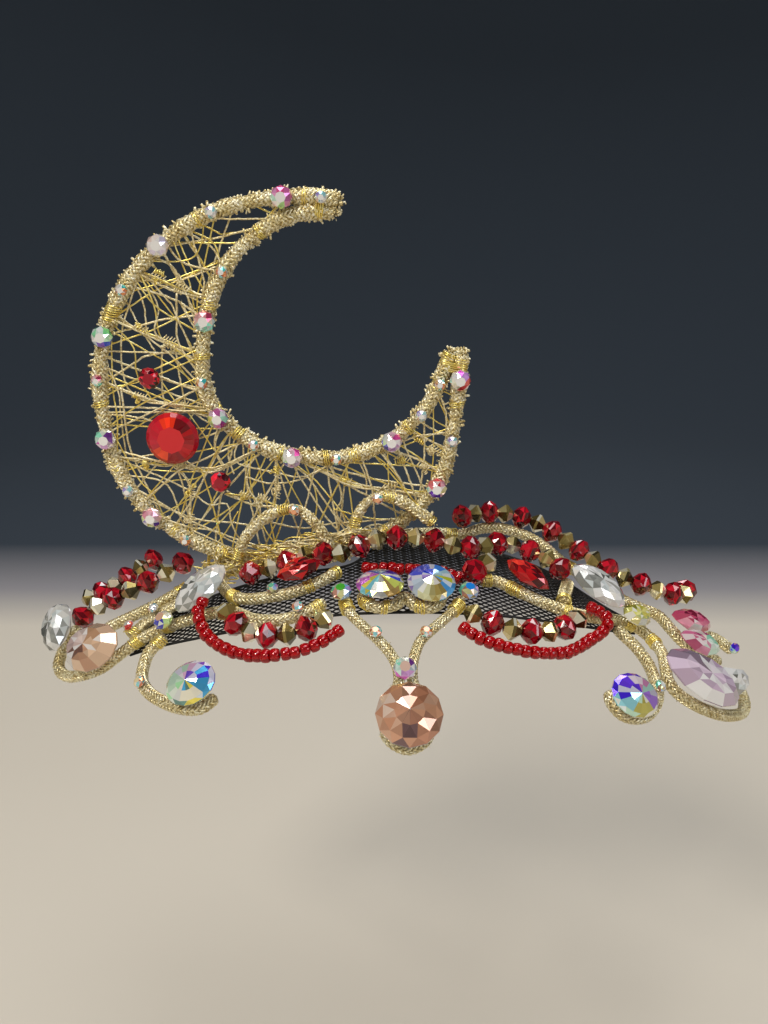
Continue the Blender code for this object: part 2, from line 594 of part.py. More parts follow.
FRONT_STONES = (
    Stone("drop_stone", (2.6, 49.2, 3.6), (10.2, 10.2), "peach", tilt=12, height=4.2, table=0.3),
    Stone("drop_crystal", (2.2, 39.8, 3.1), (3.8, 3.8), "aurora", tilt=15, sides=8, height=2),
    Stone("centre_stone_left", (-1.6, 21.7, 4.0), (8.4, 8.4), "aurora", tilt=2, table=0.3),
    Stone("centre_stone_right", (6.8, 21.8, 4.4), (8.4, 8.4), "aurora", tilt=14, table=0.3),
    Stone("crystal_left", (-8.0, 22.9, 4.0), (3.7, 3.7), "aurora", tilt=12, sides=8, height=2),
    Stone("crystal_right", (13.2, 21.9, 4.0), (3.7, 3.7), "aurora", tilt=12, sides=8, height=2),
    Stone("red_navette_left", (-15.4, 16.2, 4.4), (8.2, 5.4), "scarlet", 16, 12, 3, point=1.6),
    Stone("red_navette_right", (24.0, 14.8, 4.3), (9.2, 5.2), "scarlet", -34, 14, 3, point=1.6),
    Stone("clear_oval_left", (-33, 15.6, 4.6), (12, 7), "clear", 40, 18),
    Stone("clear_oval_right", (36.5, 14.4, 5.7), (11.6, 7.2), "clear", -28, 16),
)
END_STONES = (
    Stone("peach_oval_left", (-53.0, 21.8, 5.0), (12.4, 9.2), "peach", -20, 26, 4.2),
    Stone("clear_oval_far_left", (-59.3, 14.9, 9.0), (10.4, 6), "clear", 84, 20, 4.6),
    Stone("crystal_far_left", (-40.1, 20.0, 3.9), (3.9, 3.9), "aurora", tilt=18, sides=8, height=2),
    Stone("curl_stone_left", (-31.0, 39.5, 3.6), (8.8, 7.2), "aurora", 10, 22, 3.4, 0.3),
    Stone("curl_stone_right", (38.8, 39.8, 3.75), (9, 7.2), "aurora", -1, 24, 3.4, 0.3),
    Stone("lilac_oval_right", (54.2, 29.8, 4.8), (17.4, 9), "lilac", -3, 18, 4),
    Stone("clear_octagon_right", (62.8, 24.2, 4.0), (7.6, 5.8), "clear", 40, 26, 5, sides=8),
    Stone("pink_navette_right", (56.5, 18.5, 6.2), (9.8, 4.7), "aurora", 8, 26, 3, point=1.6),
    Stone("rose_navette_right", (55.4, 13.2, 7.2), (10, 4.7), "rose", 15, 24, 3, point=1.6),
    Stone("yellow_oval_right", (45.0, 16.0, 4.2), (6.4, 4.7), "yellow", 22, 18, 2.6),
)


def small_crystals(materials):
    places = {
        "crystal_upper_scroll": (-20.2, 18.6, 3.9),
        "crystal_lower_scroll": (-15.2, 25.4, 3.9),
        "crystal_v_left": (-2.3, 31.8, 2.9),
        "crystal_v_right": (5.8, 31.6, 2.9),
        "crystal_curl_left": (-42.4, 34.4, 2.9),
        "crystal_curl_right": (46.7, 33.6, 2.9),
        "crystal_sparkle_near": (-43.6, 13.8, 4.3),
        "crystal_sparkle_far": (-48.4, 16.2, 4.2),
        "crystal_nub": (65.9, 13.7, 8.7),
    }
    for name, at in places.items():
        small_crystal(name, at, materials["aurora"], tilt=60 if name == "crystal_nub" else 15)


def build():
    clear_scene()
    materials = make_finishes()
    net_band(materials)
    moon_frame(materials)
    moon_web(materials)
    brace("moon_brace_left", LEFT_BRACE, materials, (-17.6, 11.6))
    brace("moon_brace_right", RIGHT_BRACE, materials, (-2.2, 13.9))
    moon_stone("moon_red_stone", (-40.1, 24.6), 9.6, materials["scarlet"], 12)
    moon_stone("moon_garnet_upper", (-43.0, 35.7), 3.9, materials["garnet"], 8)
    moon_stone("moon_garnet_lower", (-31.4, 16.3), 3.9, materials["garnet"], 8)
    cords(materials)
    bead_strings(materials)
    for stone in (*FRONT_STONES, *END_STONES):
        cut_stone(stone, materials)
    small_crystals(materials)


build()
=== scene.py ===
# Ballet headpiece: the finish of every piece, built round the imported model.
# Metres, +Z up, the front towards -Y. Routes and places below are in mm: across, fore and lift over the
# crown, or x and z on the crescent.
import math

import bpy
import numpy as np
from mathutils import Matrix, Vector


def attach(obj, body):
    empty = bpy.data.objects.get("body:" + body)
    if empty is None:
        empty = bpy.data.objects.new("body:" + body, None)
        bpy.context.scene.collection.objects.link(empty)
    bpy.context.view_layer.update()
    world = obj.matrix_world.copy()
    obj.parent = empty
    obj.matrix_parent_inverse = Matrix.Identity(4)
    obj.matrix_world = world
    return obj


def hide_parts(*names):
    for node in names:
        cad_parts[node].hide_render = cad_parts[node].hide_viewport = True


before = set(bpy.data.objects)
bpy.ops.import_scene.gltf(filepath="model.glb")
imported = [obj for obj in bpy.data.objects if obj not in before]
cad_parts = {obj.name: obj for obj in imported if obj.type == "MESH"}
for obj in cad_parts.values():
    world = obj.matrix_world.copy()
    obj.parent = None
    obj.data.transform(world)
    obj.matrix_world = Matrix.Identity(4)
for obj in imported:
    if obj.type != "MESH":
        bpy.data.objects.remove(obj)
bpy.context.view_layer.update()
mm = 0.001
rng = np.random.default_rng(23)


# Arrays, curves and frames

def unit(v):
    # each vector divided by its length
    return v / np.maximum(np.linalg.norm(v, axis=-1, keepdims=True), 1e-12)


# the pieces lie on an ellipsoid with these half sizes in mm, its top at the origin
crownHalf = np.array([96.0, 102.0, 96.0])


def onCrown(rows):
    # across, fore and lift in mm become a point: two turns over the ellipsoid, then lift along its normal
    rows = np.atleast_2d(np.asarray(rows, float))
    turnX, turnY = rows[:, 0] / crownHalf[0], rows[:, 1] / crownHalf[1]
    ball = np.stack([np.sin(turnX), -np.cos(turnX) * np.sin(turnY), np.cos(turnX) * np.cos(turnY)], 1)
    lifted = ball * crownHalf - [0, 0, crownHalf[2]] + unit(ball / crownHalf) * rows[:, 2:3]
    return lifted * mm


def crownNormal(points):
    # the ellipsoid's gradient at each point
    return unit((points / mm + [0, 0, crownHalf[2]]) / crownHalf ** 2)


def pathLength(path):
    return float(np.linalg.norm(np.diff(path, axis=0), axis=1).sum())


def pointsAt(path, distances):
    # the path read at distances along it, by straight interpolation
    along = np.concatenate([[0], np.cumsum(np.linalg.norm(np.diff(path, axis=0), axis=1))])
    return np.stack([np.interp(distances, along, path[:, k]) for k in range(3)], 1)


curveCuts = 12   # cuts of a curve from one of its points to the next


def smoothRoute(points, step):
    # a cubic curve through the points, whose slope at each is half the way between its two neighbours, cut
    # into equal steps
    p = np.vstack([2 * points[0] - points[1], points, 2 * points[-1] - points[-2]])
    t = (np.arange(curveCuts) / curveCuts)[:, None, None]
    before, start, end, after = p[:-3], p[1:-2], p[2:-1], p[3:]
    fine = 0.5 * (2 * start + (end - before) * t + (2 * before - 5 * start + 4 * end - after) * t ** 2
                  + (3 * start - before - 3 * end + after) * t ** 3)
    fine = np.vstack([fine.transpose(1, 0, 2).reshape(-1, 3), points[-1:]])
    count = max(2, round(pathLength(fine) / step))
    return pointsAt(fine, np.linspace(0, pathLength(fine), count + 1))


def turnedFrame(paths, up):
    # tangent by differences; out is up made square to it; side = out x tangent
    ahead = unit(np.gradient(paths, axis=-2))
    up = np.broadcast_to(up, paths.shape)
    out = unit(up - (up * ahead).sum(-1, keepdims=True) * ahead)
    return ahead, np.cross(out, ahead), out


def tubes(paths, radius, sides=4, up=(0, -1, 0), flat=1.0, kind=0):
    # k paths of n points: each ring is point + side r cos t + out r flat sin t, with a fan closing each end;
    # kind is the place of their finish in the piece
    paths = paths if paths.ndim == 3 else paths[None]
    k, n = paths.shape[:2]
    _, side, out = turnedFrame(paths, up)
    t = 2 * np.pi * np.arange(sides) / sides
    radius = np.broadcast_to(radius, (k, n))[..., None, None]
    rings = (paths[:, :, None] + side[:, :, None] * np.cos(t)[:, None] * radius
             + out[:, :, None] * np.sin(t)[:, None] * radius * flat)
    ids = np.arange(k * n * sides).reshape(k, n, sides)
    near = np.roll(ids, -1, axis=2)
    quads = np.stack([ids[:, :-1], near[:, :-1], near[:, 1:], ids[:, 1:]], -1).reshape(-1, 4)
    tips = k * n * sides + np.arange(2 * k).reshape(2, k, 1)
    first = np.stack([np.broadcast_to(tips[0], (k, sides)), near[:, 0], ids[:, 0]], -1).reshape(-1, 3)
    last = np.stack([np.broadcast_to(tips[1], (k, sides)), ids[:, -1], near[:, -1]], -1).reshape(-1, 3)
    return {"verts": np.vstack([rings.reshape(-1, 3), paths[:, 0], paths[:, -1]]),
            "faces": [quads, np.vstack([first, last])], "smooth": True, "kind": kind}


def flatCurve(x, y):
    # a smooth curve through points of a plane, in steps of half a unit
    return smoothRoute(np.column_stack([x, y, np.zeros(len(x))]), 0.5)


lumpLengths = (2.9, 1.3, 0.7, 0.4)   # mm for one radian of each wave


def lumps(distance, size, seed):
    # a sum of sines of unlike lengths, each weaker than the last, for an uneven hand-wound thickness
    phase = np.random.default_rng(seed).uniform(0, 6.28, len(lumpLengths))
    return size * sum(np.sin(distance / long + phase[k]) / (k + 1) for k, long in enumerate(lumpLengths))


# Colours, materials and meshes

def hexColour(text):
    # sRGB hex to linear red, green, blue, alpha
    srgb = np.array([int(text[k:k + 2], 16) / 255 for k in (1, 3, 5)])
    return (*np.where(srgb <= 0.04045, srgb / 12.92, ((srgb + 0.055) / 1.055) ** 2.4), 1.0)


def hexColours(text):
    # colours parted by spaces, one row each
    return np.array([hexColour(word) for word in text.split()])


def addNode(material, kind, values=None, links=None, stops=(), **settings):
    # a node with its settings, socket values and links, and on a ramp its stops of place and colour
    node = material.node_tree.nodes.new(kind)
    for key, value in settings.items():
        setattr(node, key, value)
    for socket, value in (values or {}).items():
        node.inputs[socket].default_value = value
    for socket, source in (links or {}).items():
        material.node_tree.links.new(source, node.inputs[socket])
    for place, _ in stops[1:-1]:
        node.color_ramp.elements.new(place)
    for element, (place, shade) in zip(node.color_ramp.elements if stops else (), stops):
        element.position = place
        element.color = hexColour(shade)
    return node


def newFinish(name, **sockets):
    # a Principled material; a socket's underscores stand for spaces, and a text value is a colour
    material = bpy.data.materials.new(name)
    material.use_nodes = True
    shader = material.node_tree.nodes["Principled BSDF"]
    for socket, value in sockets.items():
        value = hexColour(value) if isinstance(value, str) else value
        shader.inputs[socket.replace("_", " ")].default_value = value
    return material, shader


def makePiece(name, shapes, finishes, stands=()):
    # joins shapes into one mesh: all vertices, then all faces with their material, shading and facet colours
    verts, corners, totals, kinds, smooths, tints = [], [], [], [], [], []
    base = 0
    for shape in shapes:
        verts.append(shape["verts"])
        for block in shape["faces"]:
            corners.append((block + base).ravel())
            totals.append(np.full(len(block), block.shape[1]))
            smooths.append(np.full(len(block), shape.get("smooth", False)))
            kinds.append(np.broadcast_to(shape.get("kind", 0), len(block)))
        if "kinds" in shape:
            kinds[-len(shape["faces"]):] = shape["kinds"]
        for place, block in enumerate(shape["faces"]):
            tint = shape["tints"][place] if "tints" in shape else np.ones((len(block), 4))
            tints.append(np.repeat(tint, block.shape[1], axis=0))
        base += len(shape["verts"])
    verts, corners, totals = np.vstack(verts), np.concatenate(corners), np.concatenate(totals)
    mesh = bpy.data.meshes.new(name)
    mesh.vertices.add(len(verts))
    mesh.vertices.foreach_set("co", verts.astype(np.float32).ravel())
    mesh.loops.add(len(corners))
    mesh.loops.foreach_set("vertex_index", corners.astype(np.int32))
    mesh.polygons.add(len(totals))
    mesh.polygons.foreach_set("loop_start", np.concatenate([[0], np.cumsum(totals)[:-1]]).astype(np.int32))
    mesh.polygons.foreach_set("material_index", np.concatenate(kinds).astype(np.int32))
    mesh.polygons.foreach_set("use_smooth", np.concatenate(smooths))
    mesh.update(calc_edges=True)
    if any("tints" in shape for shape in shapes):
        layer = mesh.color_attributes.new("facetTint", "FLOAT_COLOR", "CORNER")
        layer.data.foreach_set("color", np.vstack(tints).astype(np.float32).ravel())
    mesh.validate()
    for material in finishes:
        mesh.materials.append(material)
    thing = bpy.data.objects.new(name, mesh)
    bpy.context.scene.collection.objects.link(thing)
    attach(thing, "root")
    if stands:
        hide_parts(*stands)
    return thing


# Metallised thread and wire

def filmFinish(name, dark, middle, bright, grain, roughness, metallic=0.8, relief=0.05):
    # Polyester film metallised and slit into thread: countless tiny mirrors, so colour and normal both
    # flicker; the colour's flicker is painted glints, each cell drawn from dark towards bright, under a cloud
    # of tone nine glints wide. grain is the size of one glint in mm; the real film is 0.2 mm wide, drawn a
    # little coarser to show.
    material, shader = newFinish(name, Metallic=metallic, Roughness=roughness)
    place = {"Vector": addNode(material, "ShaderNodeTexCoord").outputs["Object"]}
    glint = addNode(material, "ShaderNodeTexVoronoi", {"Scale": 1000 / grain, "Randomness": 1.0}, place)
    cloud = addNode(material, "ShaderNodeTexNoise", {"Scale": 1000 / (grain * 9), "Detail": 3.0}, place)
    pick = addNode(material, "ShaderNodeSeparateColor", links={"Color": glint.outputs["Color"]})
    blend = addNode(material, "ShaderNodeMath", {2: 0.0}, {0: pick.outputs["Red"], 1: cloud.outputs["Fac"]},
                    operation="MULTIPLY_ADD", use_clamp=True)
    shade = addNode(material, "ShaderNodeValToRGB", links={"Fac": blend.outputs["Value"]},
                    stops=((0.04, dark), (0.22, middle), (0.6, bright)))
    bump = addNode(material, "ShaderNodeBump", {"Strength": 1.0, "Distance": relief * mm},
                   {"Height": pick.outputs["Green"]})
    material.node_tree.links.new(shade.outputs["Color"], shader.inputs["Base Color"])
    material.node_tree.links.new(bump.outputs["Normal"], shader.inputs["Normal"])
    return material


goldBraid = filmFinish("metallised_film_braid", "#B8A470", "#E6D8A6", "#FFFBE0", 0.3, 0.3, 0.6)
rimBraid = filmFinish("metallised_film_braid_frayed", "#B8A062", "#E8DAA6", "#FFFCE8", 0.3, 0.36, 0.5, 0.1)
paleThread = filmFinish("pale_metallised_thread", "#C4B07A", "#ECDCA8", "#FFF9DC", 0.22, 0.4, 0.45, 0.03)
# the core shows only in the gaps between strands; its darker colour is painted shade there
cordCoreShaded = filmFinish("braid_core_yarn_painted_shade", "#6E5C34", "#8A7444", "#A8925C", 0.4, 0.6, 0.3)


def brassWire():
    # Bright drawn brass wire, lacquered: a hard yellow mirror with faint draw marks; the noise that patches
    # its colour also paints highlights in pale yellow.
    material, shader = newFinish("lacquered_brass_wire", Metallic=0.75, Roughness=0.28)
    place = addNode(material, "ShaderNodeTexCoord").outputs["Object"]
    toneAndHighlight = addNode(material, "ShaderNodeTexNoise", {"Scale": 1000 / 0.8, "Detail": 4.0}, {"Vector": place})
    shade = addNode(material, "ShaderNodeValToRGB", links={"Fac": toneAndHighlight.outputs["Fac"]},
                    stops=((0.3, "#DEBE54"), (0.5, "#F4DE7C"), (0.75, "#FFF8B8")))
    material.node_tree.links.new(shade.outputs["Color"], shader.inputs["Base Color"])
    return material


wireFinish = brassWire()
windingSettings = {
    "wire": 0.14, "pitch": 0.42,     # mm: the wire's radius, and the way from one turn to the next
    "pointsATurn": 12,
    "uneven": 0.06, "waver": 0.05,   # mm that turns stray along the cord and away from it
    "lean": 0.22,                    # mm that each turn leans along the cord
}


def nearestDistance(path, point):
    # how far along the path lies its place nearest to the point, in mm
    return np.linalg.norm(path - point, axis=1).argmin() * pathLength(path) / (len(path) - 1) / mm


def windingShape(path, up, distance, turns, reach, local, wire=None, pitch=None, kind=0):
    # wire wound round a path: angle = 2 pi turns t, reach out from the path, each turn leaning along it
    s = windingSettings
    t = np.linspace(0, 1, turns * s["pointsATurn"])
    along = distance + (t - 0.5) * turns * (pitch or s["pitch"]) + lumps(t * turns * 2, s["uneven"], turns)
    along = np.clip(along, 0, pathLength(path) / mm)
    nearest = np.round(along / (pathLength(path) / mm) * (len(path) - 1)).astype(int)
    ahead, side, out = (axis[nearest] for axis in turnedFrame(path, up))
    angle = 2 * np.pi * turns * t + local.uniform(0, 6)
    spoke = side * np.cos(angle)[:, None] + out * np.sin(angle)[:, None]
    lean = ahead * (s["lean"] * np.sin(angle + local.uniform(0, 6)))[:, None]
    far = (reach + lumps(t * turns * 3, s["waver"], turns + 2))[:, None]
    line = pointsAt(path, along * mm) + (spoke * far + lean) * mm
    return tubes(line, (wire or s["wire"]) * mm, 5, spoke, kind=kind)


def stubShape(roots, ways, long, radius, local, sides=5, bend=0.12):
    # short cut ends, all at once: a root, a middle bent aside and a blunt tip a little thinner than the root;
    # long and radius are the least and the most, in mm
    longs = local.uniform(*long, len(roots))[:, None] * mm
    girth = local.uniform(*radius, len(roots))[:, None] * np.array([1.0, 1.0, 0.8]) * mm
    middle = roots + ways * longs * 0.55 + local.normal(0, bend, roots.shape) * mm
    line = np.stack([roots, middle, roots + ways * longs], 1)
    across = unit(np.cross(ways, local.normal(0, 1, ways.shape)))
    return tubes(line, girth, sides, across[:, None])


# Gold cord: a braided tube of metallised film, each strand over two and under two

braidSettings = {
    "strandsEachWay": 8,
    "lay": 6.4,             # mm along the cord for one whole turn of a strand
    "middleRadius": 0.93,   # mm
    "weave": 0.10,          # mm that a strand rises and falls
    "strandWidth": 0.58,    # mm
    "strandThick": 0.24,    # mm
    "step": 0.3,            # mm
    "roundedEnd": 0.9,      # mm over which an end closes
    "coreInset": 0.12,      # mm from the middle of the braid to the face of its core
}


def cordPath(points):
    return smoothRoute(points, braidSettings["step"] * mm)


def braidShapes(path, up, swell=0.0, width=1.0, flat=1.0, middleRadius=None, strandWidth=None, ragged=0.0):
    # turn = 2 pi s / lay. Strand k of one way is at turn + 2 pi k / strands, of the other way at
    # -turn + 2 pi k / strands. Its radius = middle +- weave cos(+- strands turn / 2 + pi k + pi / 4), so that
    # crossings go over two, under two.
    s = braidSettings
    count = s["strandsEachWay"]
    middleRadius = middleRadius or s["middleRadius"]
    length = pathLength(path) / mm
    distance = np.linspace(0, length, len(path))
    _, side, out = turnedFrame(path, up)
    turn = 2 * np.pi * distance / s["lay"]
    near = np.clip(np.minimum(distance, length - distance) / s["roundedEnd"], 0, 1)
    close = np.sqrt(np.clip(1 - (1 - near) ** 2, 0.01, 1))
    each = np.arange(count)[:, None]
    shapes = []
    for way in (1, -1):
        angle = way * turn + 2 * np.pi * each / count
        wave = s["weave"] * np.cos(way * count * turn / 2 + np.pi * each + np.pi / 4)
        radius = (middleRadius + swell + way * wave) * close * mm
        radius = radius + rng.normal(0, ragged, radius.shape) * mm
        spoke = side * np.cos(angle)[..., None] * width + out * np.sin(angle)[..., None] * flat
        girth = (strandWidth or s["strandWidth"]) / 2 * close * mm
        thin = s["strandThick"] / s["strandWidth"]
        shapes.append(tubes(path + spoke * radius[..., None], girth, 4, unit(spoke), thin))
    # the core under the strands, whose darker finish paints the shade in the gaps
    core = (middleRadius - s["coreInset"] + swell) * close * mm
    shapes.append(tubes(path, core, 8, up, flat, kind=1))
    return shapes


cordRoutes = {   # across, fore and lift
    "rear_wire": (
        (-58.5, 13.8, 4.6), (-54, 12.8, 4.8), (-48, 11.8, 4.2), (-43, 10.4, 3.8), (-38, 7.0, 3.4),
        (-33, 3.9, 2.6), (-27, 2.2, 2.0), (-18, 2.2, 1.9), (-9, 2.0, 1.9), (0, -0.6, 2.8), (8, -2.2, 3.4),
        (14, -3.2, 3.4), (18, -5, 4.8), (22, -5.8, 5.4), (26, -5.2, 5.4), (30, -3.4, 4.9), (34, -0.4, 3.7),
        (39, 3.8, 3.6), (44.5, 7.2, 3.6), (48.4, 9.2, 4.3), (51.8, 10.0, 4.9), (53.2, 14.0, 5.1),
        (55.2, 16.0, 4.8), (57.4, 16.8, 4.8), (60.8, 16.8, 5.0), (64.8, 15.6, 5.2)),
    "front_wire_left": (
        (-58.5, 12.2, 8.0), (-62.5, 13.2, 6.6), (-64.8, 16.6, 5.0), (-63.2, 20, 3.4), (-59, 22.4, 2.6),
        (-54.5, 23.0, 2.2), (-50.5, 21.8, 2.4), (-46.5, 19.8, 2.4), (-42.5, 19.0, 2.4), (-38.5, 19.3, 2.4),
        (-34.5, 19.4, 2.4), (-30.5, 19.8, 2.4), (-27, 21.5, 2.4), (-23.6, 24.5, 2.4), (-19.6, 26.0, 2.4),
        (-16, 25.8, 2.4), (-12.9, 24.2, 2.4), (-11.0, 22.6, 2.4)),
    "front_wire_right": (
        (16.2, 14.6, 2.4), (19.2, 14.0, 2.4), (22, 15.4, 2.4), (25, 17.0, 2.4), (28, 18.2, 2.4),
        (31, 18.8, 2.4), (35, 18.6, 2.4), (39, 17.4, 2.4), (43, 15.4, 2.4), (47, 14.8, 2.4),
        (50.1, 16.8, 2.4), (51.4, 20.8, 2.4), (51.0, 25.2, 2.2), (50.7, 29, 2.0), (52.2, 31.9, 2.0),
        (56.2, 33.2, 2.2), (61.6, 32.3, 2.4), (66.4, 29.5, 2.6), (69.6, 26.4, 3.2), (70, 23, 4.2),
        (68, 20, 5.0)),
    "upper_scroll_left": (
        (-32.2, 8.4, 2.6), (-30.6, 12, 2.4), (-28.4, 15.6, 2.4), (-25.4, 17.8, 2.4), (-21.5, 18.6, 2.4),
        (-17.5, 18.5, 2.4), (-14.2, 17.2, 2.4), (-11.4, 15.2, 2.4), (-9.4, 13.2, 2.4)),
    "sparkle_cord_left": (
        (-49.2, 17.4, 2.6), (-46.4, 14.4, 2.8), (-43, 12.8, 2.8), (-39.4, 12.4, 3.0), (-37, 10.6, 3.0)),
    "strap_right": ((34.6, 5.8, 2.4), (33.6, 9.5, 2.4), (32.4, 13.2, 2.4), (31.8, 16, 2.4)),
    "nub_cord_right": ((60.5, 12.6, 7.4), (63.4, 11.8, 7.7), (66.6, 12.9, 8.0)),
    "v_cord": (
        (-7.8, 21.2, 2.4), (-7.4, 23.8, 2.3), (-6.2, 26.5, 1.9), (-2.6, 31, 1.4), (-0.1, 34.8, 1.4),
        (1.1, 38, 1.4), (1.3, 41.2, 1.4), (0.2, 44.6, 1.2), (-0.6, 48, 1.2), (-0.4, 51.2, 1.3),
        (2.5, 53.0, 1.4), (5.4, 51.2, 1.3), (5.7, 48, 1.2), (4.8, 44.6, 1.2), (3.6, 41.2, 1.4),
        (3.5, 38, 1.4), (4.1, 34.8, 1.4), (5.4, 31.4, 1.4), (9.2, 26.8, 1.9), (11.4, 24, 2.4),
        (12.4, 21.2, 2.4)),
    "centre_scallop": (
        (-4.7, 21, 2.4), (-4.2, 23.3, 2.4), (-1.8, 24.9, 2.4), (1, 24, 2.4), (2.6, 22, 2.4), (4.4, 24.3, 2.4),
        (6.8, 24.6, 2.4), (8.5, 23.0, 2.4), (9.0, 21, 2.4)),
    "curl_left": (
        (-40.5, 22.2, 2.4), (-43.6, 24.6, 1.9), (-44.4, 28, 1.4), (-43.8, 31.8, 1.4), (-42, 35.2, 1.4),
        (-38.8, 38.6, 1.4), (-34.8, 41.4, 1.4), (-30.8, 42.6, 1.4), (-28, 40.8, 1.4)),
    "curl_right": (
        (42.6, 17.0, 1.5), (43.9, 18.6, 1.5), (46.3, 21.2, 1.4), (47.7, 25, 1.4), (48.0, 29, 1.4),
        (47.7, 33.2, 1.4), (46.2, 37, 1.4), (43.8, 40.2, 1.4), (41, 41.9, 1.4), (38.4, 41.8, 1.4),
        (36.9, 39.8, 1.4), (36.9, 37.4, 1.4)),
}
cordLook = {   # what a cord has unlike the others: width and flat stretch its section
    "sparkle_cord_left": {"width": 1.4, "flat": 0.8, "strandWidth": 0.72},
    "strap_right": {"width": 1.2, "flat": 0.7, "strandWidth": 0.64},
    "v_cord": {"middleRadius": 0.76, "strandWidth": 0.5},
}
cutEndSettings = {   # cut film ends that stand off the braid; mm
    "perMm": 1.1, "clear": 0.5, "reach": 0.85, "long": (0.25, 0.6), "radius": (0.05, 0.08), "bend": 0.05,
}


def goldCords():
    s = cutEndSettings
    for name, rows in cordRoutes.items():
        path = cordPath(onCrown(rows))
        shapes = braidShapes(path, crownNormal(path), **cordLook.get(name, {}))
        local = np.random.default_rng(len(name))
        count = int(pathLength(path) / mm * s["perMm"])
        roots = pointsAt(path, local.uniform(s["clear"] * mm, pathLength(path) - s["clear"] * mm, count))
        ways = unit(local.normal(0, 1, (count, 3)))
        roots = roots + ways * s["reach"] * mm
        shapes.append(stubShape(roots, ways, s["long"], s["radius"], local, 3, s["bend"]))
        makePiece(name + "_braid", shapes, [goldBraid, cordCoreShaded], [name])
    print("gold cords braided")


goldCords()


# The crescent: two rims of the same cord, bound with wire and bristling with cut ends, and its two braces

moonY = -5.0
rimWidth = 2.7
outerMiddle, innerMiddle = (-20.0, 32.5), (-12.0, 41.8)   # x and z of the middle of each arc, in mm
outerRim = (   # bearing in degrees, radius in mm
    (71, 35.3), (85, 34.0), (98, 33.3), (130, 32.5), (165, 32.4), (190, 32.7), (212, 33.9), (238, 33.4),
    (268, 32.6), (300, 32.6), (328, 33.6), (350, 32.3), (366, 32.8), (373, 33.9))
innerRim = (
    (83, 22.2), (98, 22.2), (118, 21.6), (150, 20.9), (178, 21.1), (208, 23.3), (235, 22.5), (262, 21.3),
    (290, 21.4), (320, 21.9), (346, 22.3), (356, 23.0))
outerCrystals = (   # bearing on the rim, width in mm, colours
    (76, 2.2, "ice"), (87, 3.9, "pinkMint"), (108, 2.2, "ice"), (127, 3.9, "blush"), (145, 2.2, "fire"),
    (161, 3.9, "greenViolet"), (175, 2.2, "pinkAqua"), (194, 3.9, "aquaLilac"), (212, 2.2, "ice"),
    (223, 3.9, "pinkGold"), (236, 2.2, "fire"), (329, 3.9, "redViolet"), (345, 2.2, "ice"),
    (365, 3.9, "redWhite"))
innerCrystals = (
    (144, 2.2, "fire"), (169, 3.9, "pinkAqua"), (198, 2.2, "fire"), (215, 3.9, "yellowMagenta"),
    (235, 2.2, "fire"), (254, 3.9, "whitePink"), (276, 2.2, "fire"), (305, 3.9, "whitePink"),
    (324, 2.2, "ice"), (341, 2.2, "fire"))
braceRoutes = {   # x and z in mm
    "moon_brace_left": ((-28.9, 1.4), (-27.4, 5.2), (-24.6, 8.6), (-21.2, 10.8), (-17.4, 11.6), (-14.4, 9.2),
                        (-12.2, 6.0), (-10.7, 1.8)),
    "moon_brace_right": ((-6.6, 8.0), (-5.9, 10.2), (-4.4, 12.6), (-1.6, 14.0), (1.8, 13.2), (5.2, 11.0),
                         (8.2, 8.8)),
}
braceCrystals = {   # x and z
    "moon_brace_left": (-17.6, 11.6), "moon_brace_right": (-2.2, 13.9),
}
braceGap, braceRadius = 0.3, 1.1   # mm: the gap behind the braces, and their half thickness
braceY = moonY - rimWidth / 2 - braceGap - braceRadius
rimSettings = {   # mm
    "middleRadius": 1.12, "lump": 0.16, "strandWidth": 0.66, "ragged": 0.07,
    "stubEvery": 0.34, "stubLong": (0.45, 1.25), "stubRadius": (0.16, 0.3),
    "stubRoot": 0.2, "stubScatter": 0.25, "outwardShare": 0.72, "stubClear": 0.2, "stubSpread": 0.5,
    "fuzzEvery": 0.068, "fuzzLong": (0.12, 0.42), "fuzzRadius": (0.08, 0.17), "fuzzBend": 0.08,
    "tipStubs": 60, "tipReach": 0.75, "tipDepth": 2.2, "tipLong": (0.25, 0.75), "tipRadius": (0.14, 0.26),
    "tipAhead": 0.7, "windingReach": 1.34, "cuts": 160,
}
braceSettings = {   # mm; amount is the share of stubs and fuzz, windings are shares of the length
    "middleRadius": 0.8, "amount": 0.35, "windings": (0.04, 0.5, 0.95), "turns": 5, "windingReach": 1.02,
}
hornSettings = {   # mm
    "across": 1.2, "fore": 1.25, "pitch": 0.36, "wire": 0.17, "uneven": 0.03, "pointsATurn": 36,
    "innerBack": 1.4,   # the inner rim is shorter round, so the wire goes back further on it in degrees
    "stubs": 70, "stubReach": 0.5, "stubDepth": (-0.2, 1.6), "stubLong": (0.2, 0.55),
    "stubRadius": (0.16, 0.28), "stubAhead": 0.6,
}
# outer rim's end, inner rim's end, how far back the wire goes in degrees, turns
hornBindings = ((71.5, 83.5, 4.5, 4), (372.5, 355.5, -4.0, 5))
outerWindings = (   # bearing, turns
    (80, 5), (113, 3), (153, 7), (183, 3), (203, 4), (231, 3), (248, 5), (276, 4), (306, 5), (318, 6),
    (357, 3), (369.5, 5))
innerWindings = (
    (118, 3), (161, 4), (186, 3), (226, 4), (248, 3), (270, 3), (285, 5), (315, 3), (341, 4), (353, 4))


def rimPoints(rim, middle, bearings):
    # radius read off a smooth curve through the rim's rows, then turned to x and z round its middle
    rows = np.array(rim, float)
    flat = flatCurve(rows[:, 0], rows[:, 1])
    radius = np.interp(bearings, flat[:, 0], flat[:, 1])
    turn = np.radians(bearings)
    return np.stack([middle[0] + radius * np.cos(turn), np.full_like(radius, moonY),
                     middle[1] + radius * np.sin(turn)], -1) * mm


def rimPoint(rim, middle, bearing):
    return rimPoints(rim, middle, np.array([float(bearing)]))[0]


